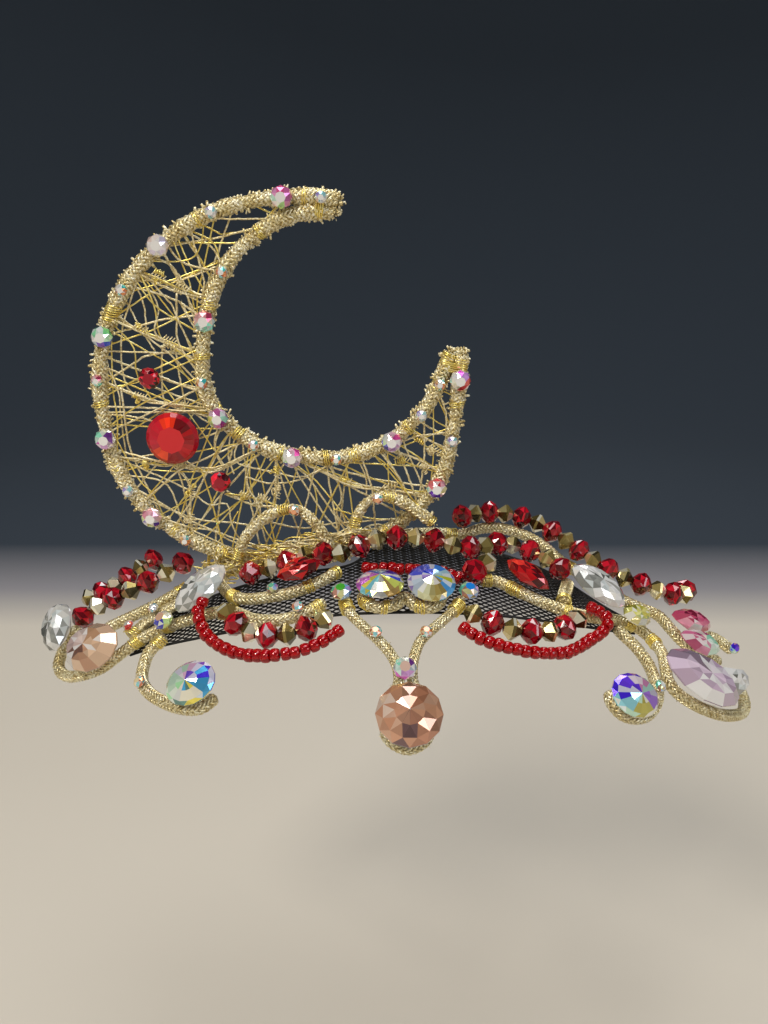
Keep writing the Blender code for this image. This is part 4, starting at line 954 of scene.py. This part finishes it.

# facet colours: each stone's own hue, with painted reflections, glints and shaded facets placed round it
stoneHuesAndPaintedLight = {   # colours met round a stone, anticlockwise from its length axis
    "left": "#3A50D8 #5848D8 #A0A8E8 #B8D0E8 #6A8CF0 #B060D8 "
            "#C86AD0 #E8DC60 #8FE0F0 #C8C8C0 #B8985A #E0E870",
    "right": "#E8EE4A #B8E0F0 #4A90F8 #2450E8 #1A3AD8 #5A60E0 "
             "#A890E0 #D8E8F8 #F0F0C0 #CABF80 #B8A25A #60B8FF",
    "copper": "#D09A78 #E0B090 #B87C5C #8A6250 #C08C6C #F4D8C4 "
              "#D09878 #E8BCA0 #D8A486 #74585A #C48C70 #A87860",
    "curlLeft": "#4A30E8 #8A60E8 #F0C0E0 #D8F8E0 #B0F0B8 #6A9890 #F0E060 #50B8F0",
    "curlRight": "#A070E0 #C8F8E8 #F0A0D0 #7040F0 #4A2AE8 #A0E8F8 #D0F8E0 #C8C060",
    "peach": "#E0BC9C #C89C78 #E4D0C8 #E0CCC8 #C4ACA8 #70483C #C89878 #ECC8A8",
    "clear": "#FFFFFF #B8B8B0 #E8ECE8 #6E706A #F8F8F4 #9EA09A #DCE4E4 #F0EEE6",
    "lilac": "#E8D2E8 #CCB2CC #F8EEF8 #9C8698 #EED8EE #D4BCD4 #FFFFFF #B8A0B8",
    "yellow": "#F4EC90 #D0C858 #FCF8C8 #989838 #E8E480 #F8F0A0 #C0C880 #F0E470",
    "rose": "#E86890 #A83058 #F890A8 #801C38 #D85078 #FFB0C4 #B03860 #E07898",
    "pink": "#D8FFE8 #A8F0D0 #F8E8E0 #B85080 #D87098 #C05078 #E890B0 #F0FFF4",
    "scarlet": "#B00814 #58020A #E01C1C #80040E #F83C30 #90060E #C81418 #500208",
    "garnet": "#A80A1E #64040E #D81830 #480208 #8C0818 #C01024 #740612 #9C0C1E",
    "crimson": "#D00C28 #3C0010 #98061E #F82C44 #48000E #B00824 #E0203C #3C000C",
    "gem": "#A0040F #6A0410 #E83418 #C0142A #B8102A #F84818 #9C0818 #D00C18",
    "blush": "#F4E8F0 #E8E0F8 #F8E8E0 #F0D8D0 #F8F0F4 #E0D8F0 #E8E8F8 #F8E0E0",
    "greenViolet": "#C8F8D0 #88E898 #E8FFF0 #98F0B8 #FFFFFF #D8E8F8 #7A50C8 #4060E8",
    "pinkMint": "#C060A8 #E878B8 #E8609C #F8A8D8 #D0F8E8 #E8C0B8 #C8F8A8 #E090C0",
    "pinkAqua": "#F0E0D0 #C04068 #F8A8B0 #F0B8B8 #F8D0D8 #C8F8F0 #A8F8E8 #90F0D8",
    "aquaLilac": "#D8E8F8 #8040A0 #E8F0E0 #A0F8D8 #D8F8F0 #F070E0 #E8B0F0 #E0D8F0",
    "yellowMagenta": "#B0F0D8 #D8A0C8 #C060A0 #F0D0E8 #E8F890 #C8F0A0 #E8A8E0 #A01890",
    "whitePink": "#F8E8F0 #E850A8 #F0C0D0 #F8FFF8 #D8F8C0 #8080E8 #D8A8F0 #E8C8F8",
    "pinkGold": "#F0C8D8 #E8A0C0 #F8B8C8 #F0A0B8 #E8F8B0 #9080C8 #E0F890 #7050E8",
    "redViolet": "#F0E8A8 #F0B0C0 #E84858 #F88890 #A8F0F0 #7838E0 #6A30D8 #F8E0F0",
    "redWhite": "#F87068 #E0A8F8 #E860E0 #F8F0F8 #F8F8E8 #F0F0D8 #D84848 #F86060",
    "greenBlue": "#C0A8F0 #58B8E8 #E0F8F0 #B8F0C8 #70D8C0 #C89080 #E8E8A8 #A8C8F8",
    "fire": "#F8A060 #60E0E0 #F0F0E8 #F8C890 #D88060 #F8E0B0 #A0E8F0 #E89070",
    "peachBlue": "#E8F090 #F0E8D0 #F8C098 #F8A888 #E0D8F0 #6070E0 #4848C8 #D0F0A0",
    "ice": "#F0F8FF #A8E8F0 #F8F0F0 #C0B0F8 #E8F8E8 #F8D8C8 #90D8F0 #F0F0F8",
}
stoneRows = (
    # name; across, fore and lift; length, width and height; turn and tilt in degrees; cut and its sides; the
    # colours, painted reflections and shaded facets among them, the table's colour, also painted light, and
    # how pointed the ends are
    ("drop_stone", (2.6, 49.2, 3.6), (10.2, 10.2, 4.2), 0, 12, "mosaic", 12, "copper", None, 1.0),
    ("drop_crystal", (2.2, 39.8, 3.1), (3.8, 3.8, 2.0), 0, 26, "chaton", 8, "aquaLilac", "#FFD8C4", 1.0),
    ("centre_stone_left", (-1.6, 22.2, 3.8), (8.4, 8.4, 3.6), 0, -2, "rivoli", 20, "left", None, 1.0),
    ("centre_stone_right", (6.8, 21.8, 4.4), (8.4, 8.4, 3.6), 0, 14, "rivoli", 20, "right", None, 1.0),
    ("crystal_left", (-8.0, 22.9, 4.0), (3.7, 3.7, 2.0), 0, 12, "chaton", 8, "greenBlue", "#48B838", 1.0),
    ("crystal_right", (13.2, 21.9, 4.0), (3.7, 3.7, 2.0), 0, 12, "chaton", 8, "greenBlue", "#2098FF", 1.0),
    ("red_navette_left", (-15.4, 16.2, 4.4), (8.2, 5.4, 3), 16, 12, "crossed", 8, "scarlet", "#E81828", 1.6),
    ("red_navette_right", (24, 14.8, 4.3), (9.2, 5.2, 3), -34, 14, "crossed", 8, "scarlet", "#E81828", 1.6),
    ("clear_oval_left", (-33, 15.6, 4.6), (12, 7, 3.6), 40, 18, "crossed", 13, "clear", "#F0F2EE", 1.25),
    ("clear_oval_right", (36.5, 14.4, 5.7), (11.6, 7.2, 3.6), -28, 16, "crossed", 13, "clear", "#F0F2EE",
     1.15),
    ("peach_oval_left", (-53.0, 21.8, 5.0), (12.4, 9.2, 4.2), -20, 26, "oval", 12, "peach", "#E8CDB8", 1.0),
    ("clear_oval_far_left", (-59.3, 14.9, 9), (10.4, 6, 4.6), 84, 20, "crossed", 14, "clear", "#F0F2EE", 1.0),
    ("crystal_far_left", (-40.1, 20, 3.9), (3.9, 3.9, 2.0), 0, 18, "chaton", 8, "peachBlue", "#F8C8A8", 1.0),
    ("curl_stone_left", (-31.0, 39.5, 3.6), (8.8, 7.2, 3.4), 10, 22, "rivoli", 16, "curlLeft", None, 1.0),
    ("curl_stone_right", (38.8, 39.8, 3.75), (9, 7.2, 3.4), -1, 24, "rivoli", 16, "curlRight", None, 1.0),
    ("lilac_oval_right", (54.2, 29.8, 4.8), (17.4, 9, 4.0), -3, 18, "oval", 12, "lilac", "#EADCE6", 1.15),
    ("clear_octagon_right", (62.8, 24.2, 4.0), (7.6, 5.8, 5.0), 40, 26, "oval", 8, "clear", "#F0F2EE", 1.0),
    ("pink_navette_right", (56.5, 18.5, 6.2), (9.8, 4.7, 3.0), 8, 26, "oval", 10, "pink", "#F4C8D4", 1.6),
    ("rose_navette_right", (55.4, 13.2, 7.2), (10, 4.7, 3.0), 15, 24, "oval", 10, "rose", "#E0708C", 1.6),
    ("yellow_oval_right", (45.0, 16.0, 4.2), (6.4, 4.7, 2.6), 22, 18, "oval", 10, "yellow", "#EEE6A0", 1.0),
)
flashOfHues = {"copper": 0.05, "scarlet": 0.0, "rose": 0.08, "curlLeft": 0.28, "curlRight": 0.28}
smallCrystals = {   # across, fore and lift, then the colours
    "crystal_upper_scroll": ((-20.2, 18.6, 3.9), "greenBlue"),
    "crystal_lower_scroll": ((-15.2, 25.4, 3.9), "fire"),
    "crystal_v_left": ((-2.3, 31.8, 2.9), "fire"),
    "crystal_v_right": ((5.8, 31.6, 2.9), "fire"),
    "crystal_curl_left": ((-42.4, 34.4, 2.9), "fire"),
    "crystal_curl_right": ((46.7, 33.6, 2.9), "greenBlue"),
    "crystal_sparkle_near": ((-43.6, 13.8, 4.3), "ice"),
    "crystal_sparkle_far": ((-48.4, 16.2, 4.2), "redWhite"),
    "crystal_nub": ((65.6, 13.6, 8.7), "curlRight"),
}
frontAxes = ((1, 0, 0), (0, 0, 1), (0, -1, 0))   # length, width and facing of a stone that faces the front
crystalSunk = 0.35              # mm that a crystal sits into the cord it is glued on
smallSize = (2.2, 2.2, 1.1)     # mm
braceSize = (2.2, 2.2, 1.5)
smallTilt, nubTilt = 15, 60     # degrees
webFace = moonY - 0.4 - 0.3     # half the web's thickness, and room for the threads that lie over it
rimStone = (0.7, 0.35)          # least height in mm, and the share of its width that a stone rises besides
webStone = (0.8, 0.22)
redStone = (9.6, -39.5, 24.8)   # width, x and z in mm
garnetWidth = 3.9
garnets = (("moon_garnet_upper", -43.0, 35.7), ("moon_garnet_lower", -31.4, 16.3))   # x and z


def roundSize(width, least, share):
    # the length, width and height of a round flat-backed stone
    return width, width, least + share * width


def stones():
    for seed, (name, at, size, turn, tilt, cut, sides, hues, table, point) in enumerate(stoneRows):
        coated = cut in ("rivoli", "chaton", "mosaic")
        flash = flashOfHues.get(hues, brightShare)
        stone = facetStone(size, cut, sides, onCrown([at])[0], seatAxes(at[0], at[1], turn, tilt),
                           stoneHuesAndPaintedLight[hues], table, point, seed, coated, flash=flash)
        makePiece(name + "_cut", [stone], stoneFinishes, [name])
    for seed, (name, (at, hues)) in enumerate(smallCrystals.items()):
        tilt = nubTilt if name == "crystal_nub" else smallTilt
        stone = facetStone(smallSize, "chaton", 8, onCrown([at])[0], seatAxes(at[0], at[1], 0, tilt),
                           stoneHuesAndPaintedLight[hues], seed=seed, coated=True)
        makePiece(name + "_cut", [stone], stoneFinishes, [name])


def crescentStones():
    shapes = []
    for rim, middle, rows in ((outerRim, outerMiddle, outerCrystals), (innerRim, innerMiddle, innerCrystals)):
        for bearing, width, hues in rows:
            place = rimPoint(rim, middle, bearing) + np.array([0, -rimWidth / 2 + crystalSunk, 0]) * mm
            shapes.append(facetStone(roundSize(width, *rimStone), "chaton", 8, place, frontAxes,
                                     stoneHuesAndPaintedLight[hues], "#FFFFFF", seed=bearing, coated=True, scatter=0.25))
    makePiece("crescent_crystals", shapes, stoneFinishes)
    for name, (x, z) in braceCrystals.items():
        place = np.array([x, braceY - braceRadius + crystalSunk, z]) * mm
        stone = facetStone(braceSize, "chaton", 8, place, frontAxes, stoneHuesAndPaintedLight["fire"], "#F8B080",
                           seed=len(name), coated=True)
        makePiece(name + "_crystal", [stone], stoneFinishes)
    width, x, z = redStone
    stone = facetStone(roundSize(width, *webStone), "gem", 24, np.array([x, webFace, z]) * mm, frontAxes,
                       stoneHuesAndPaintedLight["gem"], "#D02028", seed=5, scatter=0.0, flash=0.0, edge="#A80A24")
    makePiece("moon_red_stone_cut", [stone], [acrylicGem, foilBack], ["moon_red_stone"])
    for name, x, z in garnets:
        place = np.array([x, webFace, z]) * mm
        stone = facetStone(roundSize(garnetWidth, *webStone), "brilliant", 12, place, frontAxes,
                           stoneHuesAndPaintedLight["crimson"], "#980420", seed=len(name) + int(z), flash=0.0)
        makePiece(name + "_cut", [stone], [acrylicGem, foilBack], [name])


stones()
crescentStones()
print("stones cut")


# Bead strings: red and champagne bicones in turn on dark thread

# mm; fuller widens a bead past its length
beadSettings = {"red": 4.0, "gold": 3.3, "fuller": 1.2, "thread": 0.22, "sides": {"red": 8, "gold": 6}}
beadRoutes = {   # route, number of beads, which comes first
    "top_beads": ((
        (-27.4, 10.2, 3.7), (-21.8, 10.6, 3.7), (-17, 9.8, 4.2), (-13.2, 9.4, 5), (-10, 11.4, 5),
        (-7, 10.6, 5.2), (-3.5, 8.8, 6.2), (0, 8.4, 6.6), (4, 7.6, 6.2), (8, 6.8, 5.8), (12, 8, 5.2),
        (15.4, 7.2, 5), (18.6, 4.2, 5), (21.6, 1.6, 5), (25, 1.6, 4.8), (28.6, 2.4, 4.6), (31, 4.4, 4.6),
        (33, 8, 4.4)), 19, "red"),
    "rear_beads": ((
        (12.2, -1.2, 7.2), (15.4, -4, 7.8), (19, -6, 8.2), (23, -6.6, 8.5), (27, -6.4, 8.4),
        (31, -4.4, 8.0), (35, -0.6, 7.4), (39, 3.4, 7.2), (43, 5.2, 7.2), (47.4, 6, 7.7),
        (51.6, 6.2, 8.5), (55, 5.2, 9.6), (57, 2.2, 9.9), (57.6, -1.4, 9.9)), 17, "red"),
    "left_front_beads": (((-36.8, 2.8, 7.2), (-40.6, 5.6, 7.3), (-44.4, 7.2, 7.5), (-48.4, 8.1, 7.8),
                          (-52.4, 8.2, 8.2), (-56.8, 8, 8.4), (-60, 9.8, 8)), 7, "red"),
    "left_rear_beads": (((-43.4, -1.6, 8.8), (-46, 0.8, 9.2), (-48.6, 3.0, 9.2), (-51.6, 3.8, 9.0),
                         (-55, 3.8, 9.2), (-58.6, 3.4, 9.8)), 6, "red"),
    "swag_beads_left": (((-28.4, 22.0, 4.8), (-27.4, 24.2, 4.1), (-25.4, 27, 3.0), (-21.4, 29.5, 2.5),
                         (-16.6, 30.2, 2.4), (-13, 29.2, 2.5), (-9.8, 26.6, 3.0)), 7, "gold"),
    "swag_beads_right": (((12.6, 25.2, 3.0), (15.6, 26.8, 2.6), (19.2, 28, 2.4), (23.4, 28.0, 2.4),
                          (27.4, 26.8, 2.5), (31, 24.6, 2.8), (33.6, 21.4, 4.2)), 7, "gold"),
    "red_bead_pair": (((13.2, 18.2, 5.0), (15.7, 14.4, 4.9), (18.4, 10.6, 5.0)), 2, "red"),
}
seedRoutes = {   # across, fore and lift
    "seed_centre": ((-5, 12, 2.5), (-2, 12.6, 2.4), (2, 12.8, 2.4), (6.6, 12.9, 2.4), (9.6, 13, 2.4),
                    (12, 14.2, 2.3), (13, 15.0, 2.2)),
    "seed_left": ((-31.6, 20.4, 6.4), (-32.6, 23.2, 5.0), (-31.8, 26, 3.4), (-29.8, 28.6, 2.0),
                  (-26.6, 31, 1.3), (-22.8, 32.8, 1.2), (-18.4, 33.5, 1.2), (-14.4, 33.1, 1.2),
                  (-10.8, 31.2, 1.2), (-8.0, 28.7, 1.3)),
    "seed_right": ((12.0, 27.6, 1.3), (14.6, 29.8, 1.2), (18.6, 31.4, 1.2), (23, 31.6, 1.2), (27.6, 31, 1.2),
                   (31.6, 29, 1.3), (35, 26, 2.0), (37.6, 23.4, 3.4), (38.4, 21.2, 4.6), (37, 19.8, 4.9),
                   (34.6, 19.2, 4.9)),
}
# Pressed and cut lead glass, garnet red: facets painted at random from dark to crimson, painted shade
# where it would turn away and painted light where light would pass.
garnetGlass = tintedFinish("cut_garnet_glass", Roughness=0.03, IOR=1.56, Transmission_Weight=0.3,
                           Coat_Weight=0.4, Coat_Roughness=0.02)
# Glass coated in champagne metal: big flat mirrors with dull brownish edges; each facet's colour, from
# near white to near black, is a painted reflection.
champagneCoat = tintedFinish("champagne_coated_glass", Metallic=0.7, Roughness=0.16, Coat_Weight=0.4,
                             Coat_Roughness=0.03)
seedGlass, _ = newFinish("transparent_red_seed_glass", Base_Color="#D00412", Roughness=0.02, IOR=1.5,
                         Transmission_Weight=0.65)
beadThread, _ = newFinish("waxed_beading_thread", Base_Color="#15100E", Roughness=0.6)
# champagne coat colours, near white and near black among them as painted reflections, one per facet
champagneHuesAndGlints = "#E4D498 #A89658 #FFF8D8 #6C6034 #DCCC8C #94824A #FFFCE4 #443C20"
biconeRings = {   # share along the bead, radius as a share of half the width, turned half a step
    "red": ((0.03, 0.42, 0), (0.25, 0.82, 1), (0.45, 1.0, 0), (0.55, 1.0, 0), (0.75, 0.82, 1),
            (0.97, 0.42, 0)),
    "gold": ((0.02, 0.42, 0), (0.42, 1.0, 0), (0.58, 1.0, 0), (0.98, 0.42, 0)),
}


def biconeBeads(start, end, width, kind, local):
    # rings along each bead's axis: start + share (end - start) + radius (side cos t + out sin t)
    rings, sides = biconeRings[kind], beadSettings["sides"][kind]
    count = len(start)
    axis = unit(end - start)
    side = unit(np.cross(axis, (0.3, 0.2, 1.0)))
    out = np.cross(axis, side)
    spin = local.uniform(0, 2 * np.pi, count)[:, None]
    verts = []
    for share, reach, half in rings:
        t = 2 * np.pi * (np.arange(sides) + half / 2)[None] / sides + spin
        centre = start + (end - start) * share
        spoke = side[:, None] * np.cos(t)[..., None] + out[:, None] * np.sin(t)[..., None]
        verts.append(centre[:, None] + spoke * width[:, None, None] / 2 * reach)
    verts = np.stack(verts, 1)
    ids = np.arange(count * len(rings) * sides).reshape(count, len(rings), sides)
    made = {3: [], 4: []}
    for k in range(len(rings) - 1):
        for block in ringFacets(ids[:, k], ids[:, k + 1], rings[k][2], rings[k + 1][2]):
            made[block.shape[-1]].append(block.reshape(-1, block.shape[-1]))
    faces = [np.vstack(blocks) for blocks in made.values() if blocks]
    faces.append(np.vstack([ids[:, 0, ::-1], ids[:, -1]]))
    palette = hexColours(stoneHuesAndPaintedLight["garnet"] if kind == "red" else champagneHuesAndGlints)
    tints = [palette[local.integers(0, len(palette), len(block))] for block in faces]
    return {"verts": verts.reshape(-1, 3), "faces": faces, "tints": tints, "kind": 0 if kind == "red" else 1}


def beadStrings():
    s = beadSettings
    for seed, (name, (rows, count, first)) in enumerate(beadRoutes.items()):
        local = np.random.default_rng(100 + seed)
        path = smoothRoute(onCrown(rows), 1.0 * mm)
        reds = np.array([(k % 2 == 0) == (first == "red") for k in range(count)])
        widths = np.where(reds, s["red"], s["gold"])
        stops = pointsAt(path, np.concatenate([[0], np.cumsum(widths)]) / widths.sum() * pathLength(path))
        shapes = []
        for kind, use in (("red", reds), ("gold", ~reds)):
            if use.any():
                across = widths[use] * s["fuller"] * mm
                shapes.append(biconeBeads(stops[:-1][use], stops[1:][use], across, kind, local))
        line = pointsAt(path, np.linspace(0, pathLength(path), 4 * count))
        shapes.append(tubes(line, s["thread"] * mm, 6, kind=2))
        makePiece(name + "_strung", shapes, [garnetGlass, champagneCoat, beadThread], [name])
    print("bead strings strung")


beadStrings()

seedSettings = {
    "width": 2.3, "long": 1.65, "hole": 0.32, "thread": 0.2,   # mm
    "fill": 0.97,                                              # share of its room that a bead takes
    "sides": 14, "profile": 12,
    "square": (0.9, 0.75),                                     # under 1 fills out the profile's corners
    "tip": 0.09, "shift": 0.06, "size": (0.92, 1.06),          # how unlike its neighbours a bead is
}


def seedStrings():
    # a barrel turned round the string: the radius and height of its profile are those of a rounded ring
    s = seedSettings
    for seed, (name, rows) in enumerate(seedRoutes.items()):
        local = np.random.default_rng(200 + seed)
        path = smoothRoute(onCrown(rows), 0.5 * mm)
        count = round(pathLength(path) / mm / s["long"])
        middle = pointsAt(path, (np.arange(count) + 0.5) / count * pathLength(path))
        ahead = unit(np.gradient(middle, axis=0) + local.normal(0, s["tip"], middle.shape) * mm)
        middle = middle + local.normal(0, s["shift"], middle.shape) * mm
        side = unit(np.cross(ahead, crownNormal(middle)))
        out = np.cross(ahead, side)
        size = local.uniform(*s["size"], count)
        phi = 2 * np.pi * np.arange(s["profile"]) / s["profile"]
        wall = (s["width"] / 2 - s["hole"]) / 2
        radius = s["hole"] + wall + wall * powered(np.cos(phi), s["square"][0])
        height = s["long"] / 2 * s["fill"] * powered(np.sin(phi), s["square"][1])
        theta = 2 * np.pi * np.arange(s["sides"]) / s["sides"]
        spoke = side[:, None] * np.cos(theta)[:, None] + out[:, None] * np.sin(theta)[:, None]
        verts = (middle[:, None, None] + ahead[:, None, None] * height[None, None, :, None] * mm
                 + spoke[:, :, None] * (radius[None, None, :, None] * size[:, None, None, None] * mm))
        ids = np.arange(verts[..., 0].size).reshape(verts.shape[:3])
        nextTheta, nextPhi = np.roll(ids, -1, axis=1), np.roll(ids, -1, axis=2)
        both = np.roll(nextTheta, -1, axis=2)
        quads = np.stack([ids, nextTheta, both, nextPhi], -1).reshape(-1, 4)
        beads = {"verts": verts.reshape(-1, 3), "faces": [quads], "smooth": True}
        thread = tubes(path[::2], s["thread"] * mm, 6, kind=1)
        makePiece(name + "_strung", [beads, thread], [seedGlass, beadThread], [name])
    print("seed beads strung")


seedStrings()


# The net: two slanting families of flat strands over the crown

netSettings = {
    "pitch": 1.08, "slants": (33, -37), "strand": 0.22, "lift": 0.5, "edge": 0.26,   # mm, degrees
    "weave": 0.07,              # mm that a strand rises over its neighbours and dips under them
    "waist": (1.12, 0.9, 1.12), "flat": 0.75,   # a strand is wider at its knots, and flatter than it is wide
    "rows": 90, "middle": (0, 9), "halfLong": 49.6,
}
netEdges = (   # across, front edge, back edge
    (-50, 20, 11), (-34, 23.5, 9), (-20, 24.5, 8), (-8, 24, 7.5), (-2, 24, -1), (8, 23.5, -5),
    (18, 22.5, -5), (31, 20.5, -2), (42, 17, 6), (49, 13, 8))
# Knitted nylon net, dyed black: matte strands with a faint grey sheen.
netNylon, _ = newFinish("black_nylon_net", Base_Color="#060607", Roughness=0.75)


def net():
    s = netSettings
    edge = np.array(netEdges, float)
    front, back = flatCurve(edge[:, 0], edge[:, 1]), flatCurve(edge[:, 0], edge[:, 2])

    def inside(points):
        low = np.interp(points[..., 0], back[:, 0], back[:, 1])
        high = np.interp(points[..., 0], front[:, 0], front[:, 1])
        return (points[..., 1] > low) & (points[..., 1] < high) & (np.abs(points[..., 0]) < s["halfLong"])

    turns = [math.radians(slant) for slant in s["slants"]]
    ways = [np.array([math.cos(turn), math.sin(turn)]) * s["pitch"] for turn in turns]
    steps = np.arange(-s["rows"], s["rows"] + 1)
    i, j = np.meshgrid(steps, steps, indexing="ij")
    lattice = i[..., None] * ways[0] + j[..., None] * ways[1] + s["middle"]
    shapes = []
    for family, (start, end) in enumerate(((lattice[:-1], lattice[1:]), (lattice[:, :-1], lattice[:, 1:]))):
        keep = inside(start) & inside(end)
        a, b = start[keep], end[keep]
        side = (i[:-1] + j[:-1] if family == 0 else i[:, :-1] + j[:, :-1])[keep] % 2 * 2 - 1
        t = np.array([0, 0.5, 1.0])[None, :, None]
        flat = a[:, None] * (1 - t) + b[:, None] * t
        lift = s["lift"] + s["weave"] * side[:, None] * np.array([1.0, 0, -1.0]) * (1 if family else -1)
        points = onCrown(np.concatenate([flat, lift[..., None]], -1).reshape(-1, 3)).reshape(-1, 3, 3)
        radius = s["strand"] * np.array(s["waist"]) * mm
        shapes.append(tubes(points, radius, 4, crownNormal(points), s["flat"]))
    for rows in (front, back):
        line = onCrown(np.column_stack([rows[::2, :2], np.full(len(rows[::2]), s["lift"])]))
        shapes.append(tubes(line, s["edge"] * mm, 5, crownNormal(line)))
    piece = makePiece("black_net_band", shapes, [netNylon], ["net_band"])
    print("net strands laid")


net()


# Wire bindings: short coils of bright wire round the cords

bindings = (   # cord, distance along it in mm, turns
    ("front_wire_left", 30, 5), ("front_wire_left", 37, 4), ("front_wire_left", 50, 5),
    ("front_wire_left", 68, 5),
    ("curl_left", 1.5, 5), ("upper_scroll_left", 8.4, 6), ("upper_scroll_left", 23.7, 4),
    ("upper_scroll_left", 29.5, 4), ("v_cord", 3, 6), ("v_cord", 70.5, 6), ("centre_scallop", 3, 4),
    ("centre_scallop", 6.4, 3), ("centre_scallop", 15, 4), ("front_wire_right", 1.5, 5),
    ("front_wire_right", 7, 7), ("front_wire_right", 17, 4), ("front_wire_right", 32, 6),
    ("front_wire_right", 37.6, 5), ("rear_wire", 21, 6), ("rear_wire", 75.5, 6), ("rear_wire", 103, 5),
    ("strap_right", 10, 4), ("sparkle_cord_left", 1, 4),
)
bindingSettings = {"reach": 1.16, "wire": 0.15, "pitch": 0.38}   # mm


def wireBindings():
    s = bindingSettings
    local = np.random.default_rng(77)
    shapes = []
    for name, distance, turns in bindings:
        path = cordPath(onCrown(cordRoutes[name]))
        reach = s["reach"] * cordLook.get(name, {}).get("width", 1.0)
        shapes.append(windingShape(path, crownNormal(path), distance, turns, reach, local,
                                   s["wire"], s["pitch"]))
    makePiece("wire_bindings", shapes, [wireFinish])
    print("wire bindings wound")


wireBindings()


# Stage: a pale floor that curves up all round, soft lights, and the camera

stageSettings = {
    "floor": -0.11, "innerRadius": 0.2, "flatRadius": 0.55, "cornerRadius": 0.4, "wallTop": 0.75,   # metres
    # from the first the sweep is painted darker, shade in place of an unlit room, darkest from the second
    "paleTo": 0.19, "paintedDuskFrom": 0.29,   # metres behind the piece
    "sides": 96, "cornerSteps": 14,
}
lightRows = (   # name, place and width in metres, watts, colour
    ("key_light", (-0.35, -0.42, 0.62), 0.2, 3.85, "#FFF8EE"),
    ("fill_light", (0.5, -0.45, 0.35), 0.3, 1.3, "#F2F6FF"),
    ("rear_light", (0.1, 0.5, 0.6), 0.3, 2.0, "#FFFFFF"),
    ("top_light", (0.0, -0.05, 0.75), 0.35, 2.2, "#FFFFFF"),
)
lightAim = (0, -0.01, 0.02)
airSettings = {"colour": "#5A6068", "strength": 0.5}
cameraSettings = {   # mm, with the place over the crown and the tilt in degrees, 90 being level
    "lens": 31.64, "sensor": 36.0, "place": (-1.0, -166.4, 65.5), "tilt": 71,
}


def stage():
    # a bowl turned round Z: a flat floor, a quarter circle, then an upright wall
    s = stageSettings
    sides = s["sides"]
    corner = np.linspace(0, np.pi / 2, s["cornerSteps"])
    wall = s["flatRadius"] + s["cornerRadius"]
    bend = s["flatRadius"] + s["cornerRadius"] * np.sin(corner)
    radius = np.concatenate([[s["innerRadius"]], bend, [wall]])
    height = s["floor"] + np.concatenate([[0], s["cornerRadius"] * (1 - np.cos(corner)),
                                          [s["wallTop"] - s["floor"]]])
    t = 2 * np.pi * np.arange(sides) / sides
    verts = np.stack([radius[:, None] * np.cos(t), radius[:, None] * np.sin(t),
                      np.broadcast_to(height[:, None], (len(radius), sides))], -1)
    ids = np.arange(len(radius) * sides).reshape(-1, sides)
    near = np.roll(ids, -1, axis=1)
    quads = np.stack([ids[:-1], near[:-1], near[1:], ids[1:]], -1).reshape(-1, 4)[:, ::-1]
    mesh = bpy.data.meshes.new("stage_bowl")
    mesh.from_pydata(verts.reshape(-1, 3).tolist(), [], quads.tolist() + [ids[0].tolist()])
    mesh.shade_smooth()
    # Matte sweep: pale paper where the headpiece stands over it, falling off to a dusky wall behind: the dusk
    # is painted shade, in place of an unlit room.
    paper, shader = newFinish("matte_paper_sweep", Roughness=0.9)
    place = addNode(paper, "ShaderNodeTexCoord").outputs["Object"]
    parts = addNode(paper, "ShaderNodeSeparateXYZ", links={0: place})
    fade = addNode(paper, "ShaderNodeMapRange", {1: s["paleTo"], 2: s["paintedDuskFrom"]}, {0: parts.outputs["Y"]})
    shade = addNode(paper, "ShaderNodeValToRGB", links={"Fac": fade.outputs["Result"]},
                    stops=((0.0, "#C8C1B4"), (0.4, "#88868A"), (1.0, "#2A343F")))
    paper.node_tree.links.new(shade.outputs["Color"], shader.inputs["Base Color"])
    mesh.materials.append(paper)
    bowl = bpy.data.objects.new("stage_bowl", mesh)
    bpy.context.scene.collection.objects.link(bowl)


def lights():
    for name, place, size, watts, colour in lightRows:
        lamp = bpy.data.lights.new(name, "AREA")
        lamp.energy, lamp.size, lamp.color = watts, size, hexColour(colour)[:3]
        thing = bpy.data.objects.new(name, lamp)
        thing.location = place
        thing.rotation_euler = (Vector(lightAim) - thing.location).to_track_quat("-Z", "Y").to_euler()
        bpy.context.scene.collection.objects.link(thing)
    world = bpy.data.worlds.new("studio_air")
    world.use_nodes = True
    background = world.node_tree.nodes["Background"]
    background.inputs["Color"].default_value = hexColour(airSettings["colour"])
    background.inputs["Strength"].default_value = airSettings["strength"]
    bpy.context.scene.world = world


def viewpoint():
    s = cameraSettings
    lens = bpy.data.cameras.new("camera")
    lens.lens, lens.sensor_width, lens.clip_start = s["lens"], s["sensor"], 0.005
    camera = bpy.data.objects.new("camera", lens)
    camera.location = [place * mm for place in s["place"]]
    camera.rotation_euler = (math.radians(s["tilt"]), 0, 0)
    bpy.context.scene.collection.objects.link(camera)
    bpy.context.scene.camera = camera
    bpy.context.scene.view_settings.view_transform = "Standard"
    bpy.context.scene.view_settings.look = "None"


stage()
lights()
viewpoint()
print("stage set")
